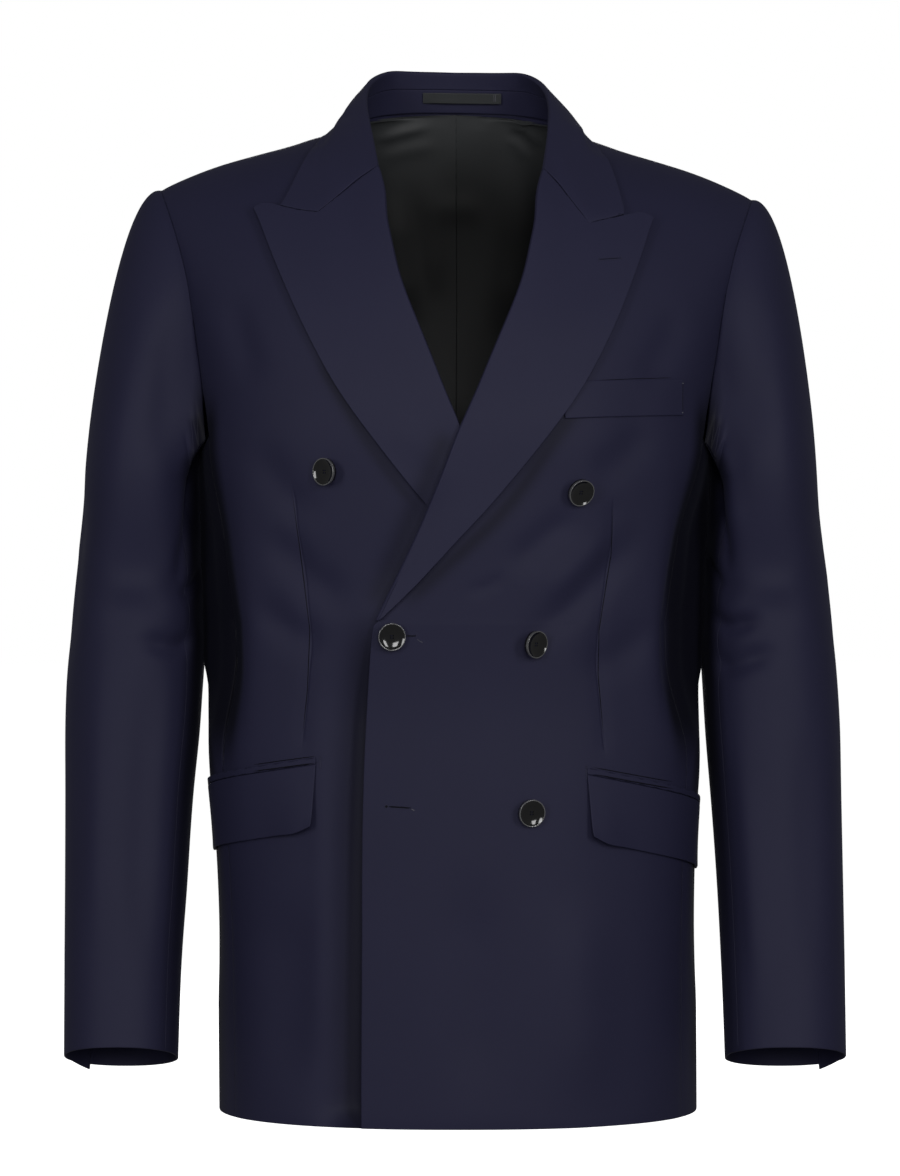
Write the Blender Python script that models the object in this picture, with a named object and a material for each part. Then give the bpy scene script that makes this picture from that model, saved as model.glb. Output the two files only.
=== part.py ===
# Double breasted blazer, worn shape: hollow cloth walls round an empty body.
# Metres, +Z up, front towards -Y, +X is the wearer's left. The origin lies midway
# between the shoulders at the base of the neck.

import math

import bmesh
import bpy
from mathutils import Matrix, Vector
from mathutils.bvhtree import BVHTree

# Driving dimensions
CLOTH = 0.0015
SATIN = 0.0010
SEAM = 0.0003
REST = 0.00035
JET_CLOTH = 0.0012
LINING_GAP = 0.0009
LINING_HEM = 0.022
HEM_Z = -0.7375
CHEST_Z = -0.235
DOME_HALF = 0.247
CENTRE_X = 0.003
DOME_POWER = 1.85
WRAP_LIFT = 0.0021
WRAP_LIFT_LAPEL = 0.0022
CURL = 0.0015
LAPEL_RISE = 0.032
BREAK_Z = -0.3695
GORGE_Z = -0.0335
SHOULDER_TILT = 0.016
BUTTON_RADIUS = 0.0100
BUTTON_DEPTH = 0.0032
BUTTON_HOLE = 0.0009
BUTTON_HOLE_PITCH = 0.0021

BODY_MIDDLE = Vector((0, 0.005, -0.3))

LOW_HEIGHTS = (-0.7375, -0.67, -0.60, -0.535, -0.475, -0.425, -0.3745, -0.3685, -0.335, -0.30, -0.268,
               -0.235)
LOW_ROWS = len(LOW_HEIGHTS) - 1
HIGH_ROWS = 9
FRONT_COLUMNS = 14
SIDE_COLUMNS = 4
BACK_COLUMNS = 10
LINING_COLUMNS = 8
LAPEL_ROWS = 14
GORGE_COLUMNS = 4
PEAK_COLUMNS = 4
CORNER_COLUMNS = 2
WELT_COLUMNS = 8
POCKET_COLUMNS = 12
FLAP_ROWS = 5

# Body rings from hem to underarm, a row for each height.
BODY = {
    "z": (-0.7375, -0.65, -0.55, -0.48, -0.42, -0.36, -0.30, -0.235),
    "half": (0.1810, 0.1812, 0.1823, 0.1862, 0.1865, 0.1880, 0.1910, 0.1930),
    "front": (0.1240, 0.1220, 0.1195, 0.1170, 0.1160, 0.1190, 0.1240, 0.1280),
    "back": (0.1220, 0.1200, 0.1130, 0.0990, 0.0910, 0.0950, 0.1070, 0.1180),
    "square": (2.35, 2.35, 2.40, 2.45, 2.45, 2.50, 2.55, 2.60),
}

# Sideways sway of the whole garment, a row for each height.
SWAY = {
    "z": (-0.7375, -0.60, -0.50, -0.42, -0.33, -0.22, 0.06),
    "x": (0.0015, 0.0005, -0.0008, -0.0020, -0.0022, 0.0, 0.0),
}

# Top edge of the front, from centre to sleeve: the last rows are the shoulder seam.
FRONT_TOP = {
    "x": (0.0, 0.04, 0.062, 0.078, 0.0885, 0.105, 0.1235, 0.155, 0.178, 0.2, 0.2247, 0.247),
    "y": (0.005,) * 12,
    "z": (0.070, 0.050, 0.027, 0.012, 0.0035, -0.0025, -0.0088, -0.0178, -0.0247, -0.0330,
          -0.0448, -0.060),
}

# Top edge of the back: the neckline, then the same shoulder seam.
BACK_TOP = {
    "x": (0.0, 0.036, 0.064, 0.081, 0.0885, 0.105, 0.1235, 0.155, 0.178, 0.2, 0.2247, 0.247),
    "y": (0.0785, 0.0755, 0.056, 0.028, 0.005, 0.005, 0.005, 0.005, 0.005, 0.005, 0.005, 0.005),
    "z": (0.0260, 0.0250, 0.0195, 0.011, 0.0035, -0.0025, -0.0088, -0.0178, -0.0247, -0.0330,
          -0.0448, -0.060),
}

# Free edge of each front, hem to neck, measured from the centre line: the hem to the break is
# the buttoning edge, then the roll line, and above the gorge the neckline.
FRONT_EDGE = {
    "z": (-0.7375, -0.607, -0.49, -0.43, -0.3695, -0.3473, -0.3237, -0.288, -0.2556, -0.2259,
          -0.2, -0.1735, -0.146, -0.12, -0.09, -0.067, -0.0335, -0.0135, 0.0035),
    "x": (-0.0735, -0.0721, -0.0696, -0.0660, -0.0600, -0.0500, -0.0388, -0.0233, -0.0110, 0.0,
          0.0112, 0.0218, 0.0330, 0.0430, 0.0502, 0.0546, 0.0600, 0.0790, 0.0885),
}

# Outer edge of each peak lapel, break to tip, measured from the centre line.
LAPEL_EDGE = {
    "z": (-0.3695, -0.3556, -0.3232, -0.2857, -0.2483, -0.2035, -0.1571, -0.1177, -0.085, -0.068),
    "left": (-0.0585, -0.0430, -0.0134, 0.0210, 0.0510, 0.0835, 0.1081, 0.1245, 0.1345, 0.1415),
    "right": (-0.0585, -0.0430, -0.0134, 0.0215, 0.0525, 0.0865, 0.1126, 0.1308, 0.1424, 0.1524),
}

# Notch of each lapel, measured from the centre line: the end of the gorge seam, places along the
# top of the peak as far as its tip, and the corner of the collar, which lies on that top edge.
NOTCH = {
    "left": {"gorge_end": (0.0935, -0.0753), "corner": (0.1194, -0.0680),
             "peak": ((0.1066, -0.0719), (0.1194, -0.0684), (0.1327, -0.0657), (0.1415, -0.0694))},
    "right": {"gorge_end": (0.1045, -0.0702), "corner": (0.1327, -0.0653),
              "peak": ((0.1166, -0.0688), (0.1313, -0.0658), (0.1437, -0.0626), (0.1524, -0.0665))},
}

# Front of the armhole, underarm to shoulder.
ARMHOLE_FRONT = {
    "z": (-0.235, -0.21, -0.182, -0.15, -0.12, -0.092, -0.064, -0.0448),
    "x": (0.1840, 0.1875, 0.1920, 0.1965, 0.2012, 0.2080, 0.2172, 0.2247),
}

# Back of the armhole, as an angle round the body for each level from underarm to shoulder.
ARMHOLE_BACK = {
    "level": (0.0, 0.15, 0.3, 0.5, 0.75, 1.0),
    "angle": (-24.0, -27.5, -31.0, -33.0, -31.0, -26.7),
}
BACK_SEAM_LEVEL = 0.15
UNDERARM_DIP = 0.011

# Seams of the side body, as angles round the body for each height.
SIDE_SEAMS = {
    "z": (-0.7375, -0.55, -0.42, -0.30, -0.235),
    "front": (25.0, 24.0, 23.0, 21.0, 19.8),
    "back": (-34.0, -32.5, -31.0, -28.0, -27.5),
}

# Sleeve rings from the biceps to the cuff. The wearer's right arm hangs a little wider.
SLEEVE = {
    "z": (-0.692, -0.62, -0.56, -0.50, -0.45, -0.40, -0.365, -0.33, -0.27),
    "in_right": (0.2075, 0.2058, 0.2018, 0.1980, 0.1928, 0.1890, 0.1887, 0.1906, 0.1932),
    "in_left": (0.1982, 0.1973, 0.1958, 0.1932, 0.1906, 0.1884, 0.1887, 0.1906, 0.1932),
    "out_right": (0.2920, 0.2932, 0.2937, 0.2942, 0.2945, 0.2928, 0.2900, 0.2870, 0.2820),
    "out_left": (0.2880, 0.2895, 0.2906, 0.2917, 0.2926, 0.2908, 0.2878, 0.2840, 0.2763),
    "y": (-0.0655, -0.0450, -0.0290, -0.0140, -0.0030, 0.0060, 0.0090, 0.0100, 0.0060),
    "depth": (0.0900, 0.0970, 0.1040, 0.1110, 0.1180, 0.1250, 0.1300, 0.1370, 0.1480),
    "pitch": (16.0, 16.0, 15.5, 14.0, 12.0, 9.0, 6.0, 3.0, 0.0),
}
SLEEVE_HEIGHTS = (-0.30, -0.33, -0.348, -0.366, -0.384, -0.402, -0.425, -0.455, -0.49, -0.53,
                  -0.57, -0.61, -0.65, -0.692)
CAP_STEPS = (0.0, 0.07, 0.18, 0.32, 0.48, 0.65, 0.83, 1.0)
CAP_LEAVE = 0.37
CUFF_STEP = 0.004

# Collar from the centre of the back (t = 0) to the gorge (t = 1), measured from the centre line.
COLLAR = {
    "t": (0.0, 0.2, 0.4, 0.55, 0.7, 0.85, 1.0),
    "fold_x": (0.0, 0.0305, 0.0540, 0.0658, 0.0690, 0.0660, 0.0600),
    "fold_y": (0.0700, 0.0662, 0.0520, 0.0280, -0.0020, -0.0380, -0.0770),
    "fold_z": (0.0575, 0.0572, 0.0545, 0.0435, 0.0265, 0.0010, -0.0330),
    "neck_x": (0.0, 0.0360, 0.0640, 0.0810, 0.0885, 0.0800, 0.0623),
    "neck_y": (0.0785, 0.0755, 0.0560, 0.0280, 0.0030, -0.0430, -0.0760),
    "neck_z": (0.0262, 0.0252, 0.0197, 0.0112, 0.0040, -0.0130, -0.0330),
    "edge_x": (0.0, 0.0370, 0.0665, 0.0825, 0.0955, 0.1110, 0.1257),
    "edge_y": (0.0825, 0.0805, 0.0590, 0.0290, -0.0020, -0.0360, -0.0680),
    "edge_z": (0.0125, 0.0118, 0.0090, 0.0045, -0.0010, -0.0245, -0.0608),
}
EDGE_LIFT = 0.0031
SHOULDER_LIFT = 0.0024
CREST_LIFT = 0.0016
COLLAR_CROWN = 0.0020
GORGE_GAP = 0.00040
COLLAR_ROWS = 11
STAND_END = 0.82
STAND_SHARE = 0.62

# Hanger loop on the collar stand: half length, middle from the centre line, height, foot and bow.
HANGER = {"half": 0.0305, "centre": 0.0018, "height": 0.0078, "low": 0.0335, "bow": 0.0024}

# Breast welt, measured in the front plane.
WELT = {"left": 0.0750, "right": 0.1632, "top": -0.1938, "bottom": -0.2207, "slope": 0.060}

# Hip pockets: each mouth runs from its front end, measured from the centre, back round the side.
POCKET = {"length": 0.150, "jet": 0.0048, "flap": 0.0480, "lean": 0.0042, "corner_lift": 0.0060}
POCKET_MOUTH = {
    "left": {"front": 0.0962, "z": -0.4752, "slope": -0.200},
    "right": {"front": 0.1012, "z": -0.4679, "slope": -0.155},
}

# Buttons, a row for each: side of the front, place in the front plane and turn about the vertical.
BUTTONS = {
    "side": (-1, 1, 1, 1, 1),
    "x": (-0.0930, 0.0893, -0.0443, 0.0580, 0.0544),
    "z": (-0.2593, -0.2738, -0.3789, -0.3840, -0.5077),
    "turn": (-14.0, 8.0, 4.0, -22.0, 4.0),
    "dip": (6.0, -12.0, 4.0, 4.0, -4.0),
}

# Soft folds of the body, a row for each: centre angle and height, slant, half sizes and depth.
BODY_FOLDS = (
    {"angle": 23.0, "z": -0.375, "slant": 0.0, "across": 10.0, "along": 0.055, "depth": 0.0065},
    {"angle": 157.0, "z": -0.395, "slant": 0.0, "across": 10.0, "along": 0.060, "depth": 0.0065},
    {"angle": 62.0, "z": -0.330, "slant": 150.0, "across": 11.0, "along": 0.075, "depth": 0.0022},
    {"angle": 118.0, "z": -0.335, "slant": -150.0, "across": 10.0, "along": 0.070, "depth": 0.0018},
    {"angle": 38.0, "z": -0.430, "slant": 60.0, "across": 8.0, "along": 0.060, "depth": -0.0016},
    {"angle": 142.0, "z": -0.430, "slant": -60.0, "across": 8.0, "along": 0.060, "depth": -0.0016},
    {"angle": -50.0, "z": -0.400, "slant": 90.0, "across": 12.0, "along": 0.060, "depth": 0.0025},
    {"angle": -130.0, "z": -0.405, "slant": -80.0, "across": 12.0, "along": 0.055, "depth": 0.0025},
)

# Folds of the sleeves, a row for each: angle round the sleeve, height, slant, half sizes and depth.
SLEEVE_FOLDS = (
    {"angle": -35.0, "z": -0.345, "slant": 0.00045, "across": 0.0095, "along": 55.0, "depth": 0.0030},
    {"angle": -15.0, "z": -0.372, "slant": 0.00035, "across": 0.0085, "along": 60.0, "depth": 0.0026},
    {"angle": -45.0, "z": -0.402, "slant": 0.00030, "across": 0.0100, "along": 50.0, "depth": 0.0026},
    {"angle": -20.0, "z": -0.440, "slant": -0.00025, "across": 0.0120, "along": 45.0, "depth": 0.0018},
    {"angle": 60.0, "z": -0.300, "slant": 0.00060, "across": 0.0200, "along": 50.0, "depth": 0.0016},
    {"angle": 150.0, "z": -0.420, "slant": -0.00050, "across": 0.0160, "along": 50.0, "depth": 0.0024},
    {"angle": 170.0, "z": -0.560, "slant": 0.00040, "across": 0.0200, "along": 50.0, "depth": 0.0018},
)

NAVY = (0.020, 0.019, 0.038)
LAPEL_NAVY = (0.024, 0.024, 0.044)
LINING_GREY = (0.030, 0.032, 0.036)
BUTTON_BLACK = (0.008, 0.008, 0.009)


def smooth(value):
    value = min(max(value, 0.0), 1.0)
    return value * value * (3.0 - 2.0 * value)


def mix(low, high, share):
    return low + (high - low) * share


def read(table, column, at, by="z"):
    """Smooth curve through one column of a table, at a value of its first column."""
    keys = table[by]
    values = table[column]
    last = len(keys) - 1
    if at <= keys[0]:
        return values[0]
    if at >= keys[last]:
        return values[last]
    i = 0
    while keys[i + 1] < at:
        i += 1

    def slope(j):
        if j in (0, last):
            k = min(j, last - 1)
            return (values[k + 1] - values[k]) / (keys[k + 1] - keys[k])
        before = keys[j] - keys[j - 1]
        after = keys[j + 1] - keys[j]
        left = (values[j] - values[j - 1]) / before
        right = (values[j + 1] - values[j]) / after
        return (left * after + right * before) / (before + after)

    step = keys[i + 1] - keys[i]
    t = (at - keys[i]) / step
    return (
        values[i] * (1 + 2 * t) * (1 - t) ** 2
        + values[i + 1] * t * t * (3 - 2 * t)
        + slope(i) * step * t * (1 - t) ** 2
        - slope(i + 1) * step * t * t * (1 - t)
    )


def power(value, exponent):
    return math.copysign(abs(value) ** exponent, value)


# The body surface: an angle of 0 is the wearer's left side, 90 the front and -90 the back.
# A level of -1 is the hem, 0 the underarm and 1 the shoulder seam or neckline.


def height_of(level):
    return CHEST_Z + min(level, 0.0) * (CHEST_Z - HEM_Z)


def level_of(z):
    return (z - CHEST_Z) / (CHEST_Z - HEM_Z)


def fold_depth(angle, z):
    total = 0.0
    for fold in BODY_FOLDS:
        rise = (z - fold["z"]) / fold["along"]
        turn = (angle - fold["angle"] - fold["slant"] * (z - fold["z"])) / fold["across"]
        total += fold["depth"] * math.exp(-rise * rise - turn * turn)
    return total


def body_form(angle, level):
    """Point of the body surface without its soft folds."""
    turn = math.radians(angle)
    across = math.cos(turn)
    along = math.sin(turn)
    side = "front" if along > 0 else "back"
    z = height_of(level)
    square = read(BODY, "square", z)
    half = read(BODY, "half", z)
    y = -power(along, 2 / square) * read(BODY, side, z)
    if level <= 0:
        return Vector((half * power(across, 2 / square), y, z))
    top = FRONT_TOP if along > 0 else BACK_TOP
    reach = DOME_HALF * power(across, 2 / square)
    top_y = read(top, "y", abs(reach), "x")
    top_z = read(top, "z", abs(reach), "x")
    round_off = DOME_POWER
    if along <= 0:
        round_off = mix(1.0, DOME_POWER, smooth((abs(reach) - 0.02) / 0.065))
    climb = math.sin(math.radians(90 * min(level, 1.0)))
    inward = math.cos(math.radians(90 * min(level, 1.0)))
    narrow = half / DOME_HALF
    return Vector((
        reach * (narrow + (1 - narrow) * climb * climb),
        top_y + (y - top_y) * max(inward, 0.0) ** (2 / round_off),
        CHEST_Z + (top_z - CHEST_Z) * climb ** (2 / DOME_POWER),
    ))


def form_normal(angle, level):
    step_angle = 0.6
    step_level = 0.012
    high = min(level + step_level, 1.0)
    low = high - 2 * step_level
    if level < 0 < level + step_level:
        high, low = 0.0, -2 * step_level
    around = body_form(angle + step_angle, level) - body_form(angle - step_angle, level)
    up = body_form(angle, high) - body_form(angle, low)
    normal = up.cross(around).normalized()
    if normal.dot(body_form(angle, level) - BODY_MIDDLE) < 0:
        normal.negate()
    return normal


def body(angle, level, lift=0.0):
    """Point of the outer face of the under layer, lifted along the normal."""
    form = body_form(angle, level)
    return form + form_normal(angle, level) * (lift - fold_depth(angle, form.z))


def locate(x, z):
    """Angle and level of the front surface at a place in the front plane."""
    if z <= CHEST_Z:
        level = level_of(z)
        square = read(BODY, "square", z)
        share = max(-1.0, min(1.0, x / read(BODY, "half", z)))
        return math.degrees(math.acos(power(share, square / 2))), level
    narrow = read(BODY, "half", CHEST_Z) / DOME_HALF
    square = read(BODY, "square", CHEST_Z)
    low, high = 0.0, 1.0
    for _ in range(40):
        level = (low + high) / 2
        climb = math.sin(math.radians(90 * level))
        reach = abs(x) / (narrow + (1 - narrow) * climb * climb)
        top_z = read(FRONT_TOP, "z", reach, "x")
        if CHEST_Z + (top_z - CHEST_Z) * climb ** (2 / DOME_POWER) < z:
            low = level
        else:
            high = level
    share = max(-1.0, min(1.0, math.copysign(reach, x) / DOME_HALF))
    return math.degrees(math.acos(power(share, square / 2))), level


def wrap_lift(angle, level):
    """How far the over front stands off the body surface, to clear what lies under it."""
    z = body_form(angle, level).z
    lapel_under = smooth((z + 0.42) / 0.05) * smooth((-0.17 - z) / 0.05)
    lift = WRAP_LIFT + WRAP_LIFT_LAPEL * lapel_under
    return lift * smooth((angle - 50) / 20) * smooth((-0.10 - z) / 0.07)


def front_face(side, x, z):
    """Point and normal of the outer face of a front at a place in the front plane."""
    angle, level = locate(x, z)
    lift = wrap_lift(angle, level) if side > 0 else 0.0
    return body(angle, level, lift), form_normal(angle, level)


# Cloth walls


def settle(point):
    """The garment's slight sway and the lower left shoulder."""
    drop = SHOULDER_TILT * smooth((point.z + 0.34) / 0.26)
    return Vector((point.x + read(SWAY, "x", point.z), point.y, point.z - drop * point.x))


def make_material(name, colour, roughness, metallic=0.0):
    material = bpy.data.materials.new(name)
    material.use_nodes = True
    shader = material.node_tree.nodes["Principled BSDF"]
    shader.inputs["Base Color"].default_value = (*colour, 1.0)
    shader.inputs["Roughness"].default_value = roughness
    shader.inputs["Metallic"].default_value = metallic
    return material


def pull_back(rows, first_row, last_row, first_column, last_column):
    """Moves the named edges of a grid inwards by the distances given."""
    moved = [[point.copy() for point in row] for row in rows]
    last_r = len(rows) - 1
    last_c = len(rows[0]) - 1
    for r in range(last_r + 1):
        for c, inner, gap in ((0, 1, first_column), (last_c, last_c - 1, last_column)):
            if gap:
                moved[r][c] += (rows[r][inner] - rows[r][c]).normalized() * gap
    for c in range(last_c + 1):
        for r, inner, gap in ((0, 1, first_row), (last_r, last_r - 1, last_row)):
            if gap:
                moved[r][c] += (rows[inner][c] - rows[r][c]).normalized() * gap
    return moved


def grid_normals(rows):
    normals = []
    last_r = len(rows) - 1
    last_c = len(rows[0]) - 1
    for r in range(last_r + 1):
        line = []
        for c in range(last_c + 1):
            down = rows[min(r + 1, last_r)][c] - rows[max(r - 1, 0)][c]
            across = rows[r][min(c + 1, last_c)] - rows[r][max(c - 1, 0)]
            line.append(across.cross(down).normalized())
        normals.append(line)
    return normals


def sew_wall(name, outer, inner, material, collection):
    """Closed wall between an outer and an inner grid of points."""
    mesh = bpy.data.meshes.new(name)
    bm = bmesh.new()
    skins = []
    for rows in (outer, inner):
        skins.append([[bm.verts.new(settle(point)) for point in row] for row in rows])
    last_r = len(outer) - 1
    last_c = len(outer[0]) - 1
    for skin in skins:
        for r in range(last_r):
            for c in range(last_c):
                bm.faces.new((skin[r][c], skin[r][c + 1], skin[r + 1][c + 1], skin[r + 1][c]))
    face, back = skins
    for r in (0, last_r):
        for c in range(last_c):
            bm.faces.new((face[r][c], face[r][c + 1], back[r][c + 1], back[r][c]))
    for c in (0, last_c):
        for r in range(last_r):
            bm.faces.new((face[r][c], face[r + 1][c], back[r + 1][c], back[r][c]))
    bmesh.ops.recalc_face_normals(bm, faces=bm.faces)
    if bm.calc_volume(signed=True) < 0:
        bmesh.ops.reverse_faces(bm, faces=bm.faces)
    bm.to_mesh(mesh)
    bm.free()
    mesh.shade_smooth()
    mesh.set_sharp_from_angle(angle=math.radians(50))
    mesh.materials.append(material)
    made = bpy.data.objects.new(name, mesh)
    collection.objects.link(made)
    return made


def sew_middle(name, rows, thickness, material, collection, known=None):
    """Closed wall laid evenly on both sides of a grid of points. Known normals come first."""
    normals = grid_normals(rows)
    half = thickness / 2
    if known:
        for line, facts in zip(normals, known):
            for c, (normal, share) in enumerate(facts):
                if line[c].dot(normal) < 0:
                    line[c].negate()
                line[c] = line[c].lerp(normal, share).normalized()
    outer = []
    inner = []
    for row, line in zip(rows, normals):
        outer.append([point + normal * half for point, normal in zip(row, line)])
        inner.append([point - normal * half for point, normal in zip(row, line)])
    return sew_wall(name, outer, inner, material, collection)


# Armholes, shared by the body panels and the sleeves


def low_levels(top=0.0):
    """Levels of the rows from the hem to the top of a side seam."""
    return [mix(-1.0, top, (z - HEM_Z) / (CHEST_Z - HEM_Z)) for z in LOW_HEIGHTS]


def front_arm_angle(level):
    if level <= 0:
        return read(SIDE_SEAMS, "front", height_of(level))
    low, high = 0.0, 80.0
    for _ in range(44):
        angle = (low + high) / 2
        point = body_form(angle, level)
        if point.x > read(ARMHOLE_FRONT, "x", point.z):
            low = angle
        else:
            high = angle
    return (low + high) / 2


def back_arm_angle(level):
    if level <= BACK_SEAM_LEVEL:
        return read(SIDE_SEAMS, "back", height_of(level))
    return read(ARMHOLE_BACK, "angle", level, "level")


def armhole_samples():
    """Points round the wearer's left armhole: shoulder, down the front, under, up the back."""
    places = []
    for i in range(HIGH_ROWS, -1, -1):
        level = i / HIGH_ROWS
        places.append((front_arm_angle(level), level))
    for i in range(1, SIDE_COLUMNS):
        places.append(side_top(i / SIDE_COLUMNS))
    for i in range(HIGH_ROWS):
        level = mix(BACK_SEAM_LEVEL, 1.0, i / HIGH_ROWS)
        places.append((back_arm_angle(level), level))
    return places


def side_top(share):
    """Underarm edge of the side body, from its front seam to its back seam."""
    angle = mix(front_arm_angle(0.0), back_arm_angle(BACK_SEAM_LEVEL), share)
    dip = level_of(CHEST_Z - UNDERARM_DIP) * math.sin(math.pi * min(share * 1.25, 1.0)) ** 2
    level = BACK_SEAM_LEVEL * smooth((share - 0.45) / 0.55)
    return angle, (level if share > 0.8 else level + dip)


def armhole_frames():
    """For each sample: its point, sleeve direction, body normal, wall direction and sleeve normal."""
    places = armhole_samples()
    points = [body(angle, level) for angle, level in places]
    count = len(points)
    centre = sum(points, Vector()) / count
    frames = []
    for i, (angle, level) in enumerate(places):
        along = (points[(i + 1) % count] - points[i - 1]).normalized()
        radial = points[i] - centre
        radial.x = 0
        radial.normalize()
        flare = 0.48 - 0.40 * max(0.0, radial.z)
        start = Vector((0.85, 0, 0)) + radial * flare
        start = (start - along * start.dot(along)).normalized()
        skin = form_normal(angle, level)
        sleeve_normal = along.cross(start).normalized()
        if sleeve_normal.dot(radial) < 0:
            sleeve_normal.negate()
        wall = -(skin + sleeve_normal).normalized()
        frames.append({"point": points[i], "start": start, "skin": skin, "wall": wall,
                       "normal": sleeve_normal})
    return frames


def mitre(frame, facing):
    """Wall vector at an armhole edge, so that body and sleeve meet along one plane."""
    return frame["wall"] * (CLOTH / max(0.45, -frame["wall"].dot(facing)))


def mirror(rows):
    return [[Vector((-point.x, point.y, point.z)) for point in row] for row in rows]


# Body panels


def front_places(side):
    places = []
    for level in low_levels() + [i / HIGH_ROWS for i in range(1, HIGH_ROWS + 1)]:
        arm = front_arm_angle(level)
        edge = front_edge_angle(side, level)
        if side < 0:
            arm = 180 - arm
        places.append([(mix(edge, arm, column_share(c)), level) for c in range(FRONT_COLUMNS + 1)])
    return places


def column_share(column):
    share = column / FRONT_COLUMNS
    return mix(share, smooth(share), 0.35)


def front_edge_angle(side, level):
    """Angle of a front's free edge; above the break it lies behind the fold of the lapel."""
    low, high = 0.0, 180.0
    for _ in range(44):
        angle = (low + high) / 2
        point = body_form(angle, level)
        shift = (2 * CURL - CLOTH / 2 + SEAM) * 1.07 * smooth((point.z - LOW_HEIGHTS[6]) / 0.005)
        shift += 0.0016 * smooth((point.z - GORGE_Z + 0.045) / 0.025)
        shift *= smooth((GORGE_Z + 0.035 - point.z) / 0.020)
        target = CENTRE_X + side * (read(FRONT_EDGE, "x", point.z) + shift)
        if point.x > target:
            low = angle
        else:
            high = angle
    return (low + high) / 2


def make_front(side, frames, material, collection):
    places = front_places(side)
    outer = []
    inner = []
    for r, row in enumerate(places):
        face = []
        back = []
        for angle, level in row:
            lift = wrap_lift(angle, level) if side > 0 else 0.0
            point = body(angle, level, lift)
            face.append(point)
            back.append(point - form_normal(angle, level) * CLOTH)
        climb = r - LOW_ROWS
        if climb >= 0:
            frame = frames[HIGH_ROWS - climb]
            corner = Vector(frame["point"])
            wall = mitre(frame, frame["skin"])
            if side < 0:
                corner.x = -corner.x
                wall = Vector((-wall.x, wall.y, wall.z))
            face[-1] = corner
            back[-1] = corner + wall
        outer.append(face)
        inner.append(back)
    outer = pull_back(outer, 0, SEAM * 0.8, SEAM / 2, SEAM * 0.6)
    inner = pull_back(inner, 0, SEAM * 0.8, SEAM / 2, SEAM * 0.6)
    name = "front_left" if side > 0 else "front_right"
    sew_wall(name, outer, inner, material, collection)
    return outer[LOW_ROWS:]


def make_side(side, frames, material, collection):
    """Side body under the arm, modelled for the wearer's left and mirrored."""
    front_levels = low_levels()
    back_levels = low_levels(BACK_SEAM_LEVEL)
    outer = []
    inner = []
    for r in range(LOW_ROWS + 1):
        face = []
        back = []
        for c in range(SIDE_COLUMNS + 1):
            share = c / SIDE_COLUMNS
            if r == LOW_ROWS:
                angle, level = side_top(share)
            else:
                level = mix(front_levels[r], back_levels[r], share)
                angle = mix(front_arm_angle(front_levels[r]), back_arm_angle(back_levels[r]), share)
            point = body(angle, level)
            wall = -form_normal(angle, level) * CLOTH
            if r == LOW_ROWS:
                frame = frames[HIGH_ROWS + c]
                point = Vector(frame["point"])
                wall = mitre(frame, frame["skin"])
            face.append(point)
            back.append(point + wall)
        outer.append(face)
        inner.append(back)
    outer = pull_back(outer, 0, SEAM * 0.6, SEAM / 2, SEAM / 2)
    inner = pull_back(inner, 0, SEAM * 0.6, SEAM / 2, SEAM / 2)
    if side < 0:
        outer, inner = mirror(outer), mirror(inner)
    sew_wall("side_left" if side > 0 else "side_right", outer, inner, material, collection)


def back_levels():
    levels = low_levels(BACK_SEAM_LEVEL)
    for i in range(1, HIGH_ROWS + 1):
        levels.append(mix(BACK_SEAM_LEVEL, 1.0, i / HIGH_ROWS))
    return levels


def make_back(side, frames, material, collection):
    """Back from its side seam to the centre back, modelled for the left and mirrored."""
    outer = []
    inner = []
    for r, level in enumerate(back_levels()):
        face = []
        back = []
        arm = back_arm_angle(level)
        for c in range(BACK_COLUMNS + 1):
            angle = mix(-90.0, arm, c / BACK_COLUMNS)
            point = body(angle, level)
            face.append(point)
            back.append(point - form_normal(angle, level) * CLOTH)
        climb = r - LOW_ROWS
        if climb >= 0:
            frame = frames[(HIGH_ROWS + SIDE_COLUMNS + climb) % len(frames)]
            face[-1] = Vector(frame["point"])
            back[-1] = frame["point"] + mitre(frame, frame["skin"])
        outer.append(face)
        inner.append(back)
    outer = pull_back(outer, 0, SEAM / 2, SEAM / 2, SEAM * 0.6)
    inner = pull_back(inner, 0, SEAM / 2, SEAM / 2, SEAM * 0.6)
    if side < 0:
        outer, inner = mirror(outer), mirror(inner)
    sew_wall("back_left" if side > 0 else "back_right", outer, inner, material, collection)
    return outer[LOW_ROWS:]


def make_lining(side, material, collection):
    """Lining inside the back, on the same rows and columns, as far as the armhole's seam."""
    outer = []
    inner = []
    levels = back_levels()
    levels[0] = level_of(HEM_Z + LINING_HEM)
    levels[-1] = 0.985
    for level in levels:
        face = []
        back = []
        arm = back_arm_angle(level)
        for c in range(LINING_COLUMNS + 1):
            angle = mix(-90.0, arm, c / BACK_COLUMNS)
            point = body(angle, level)
            normal = form_normal(angle, level)
            back.append(point - normal * (CLOTH + LINING_GAP))
            face.append(point - normal * (CLOTH + LINING_GAP + SATIN))
        outer.append(face)
        inner.append(back)
    outer = pull_back(outer, 0, 0, SEAM / 2, 0)
    inner = pull_back(inner, 0, 0, SEAM / 2, 0)
    if side < 0:
        outer, inner = mirror(outer), mirror(inner)
    name = "lining_back_left" if side > 0 else "lining_back_right"
    sew_wall(name, outer, inner, material, collection)


# Sleeves


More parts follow.
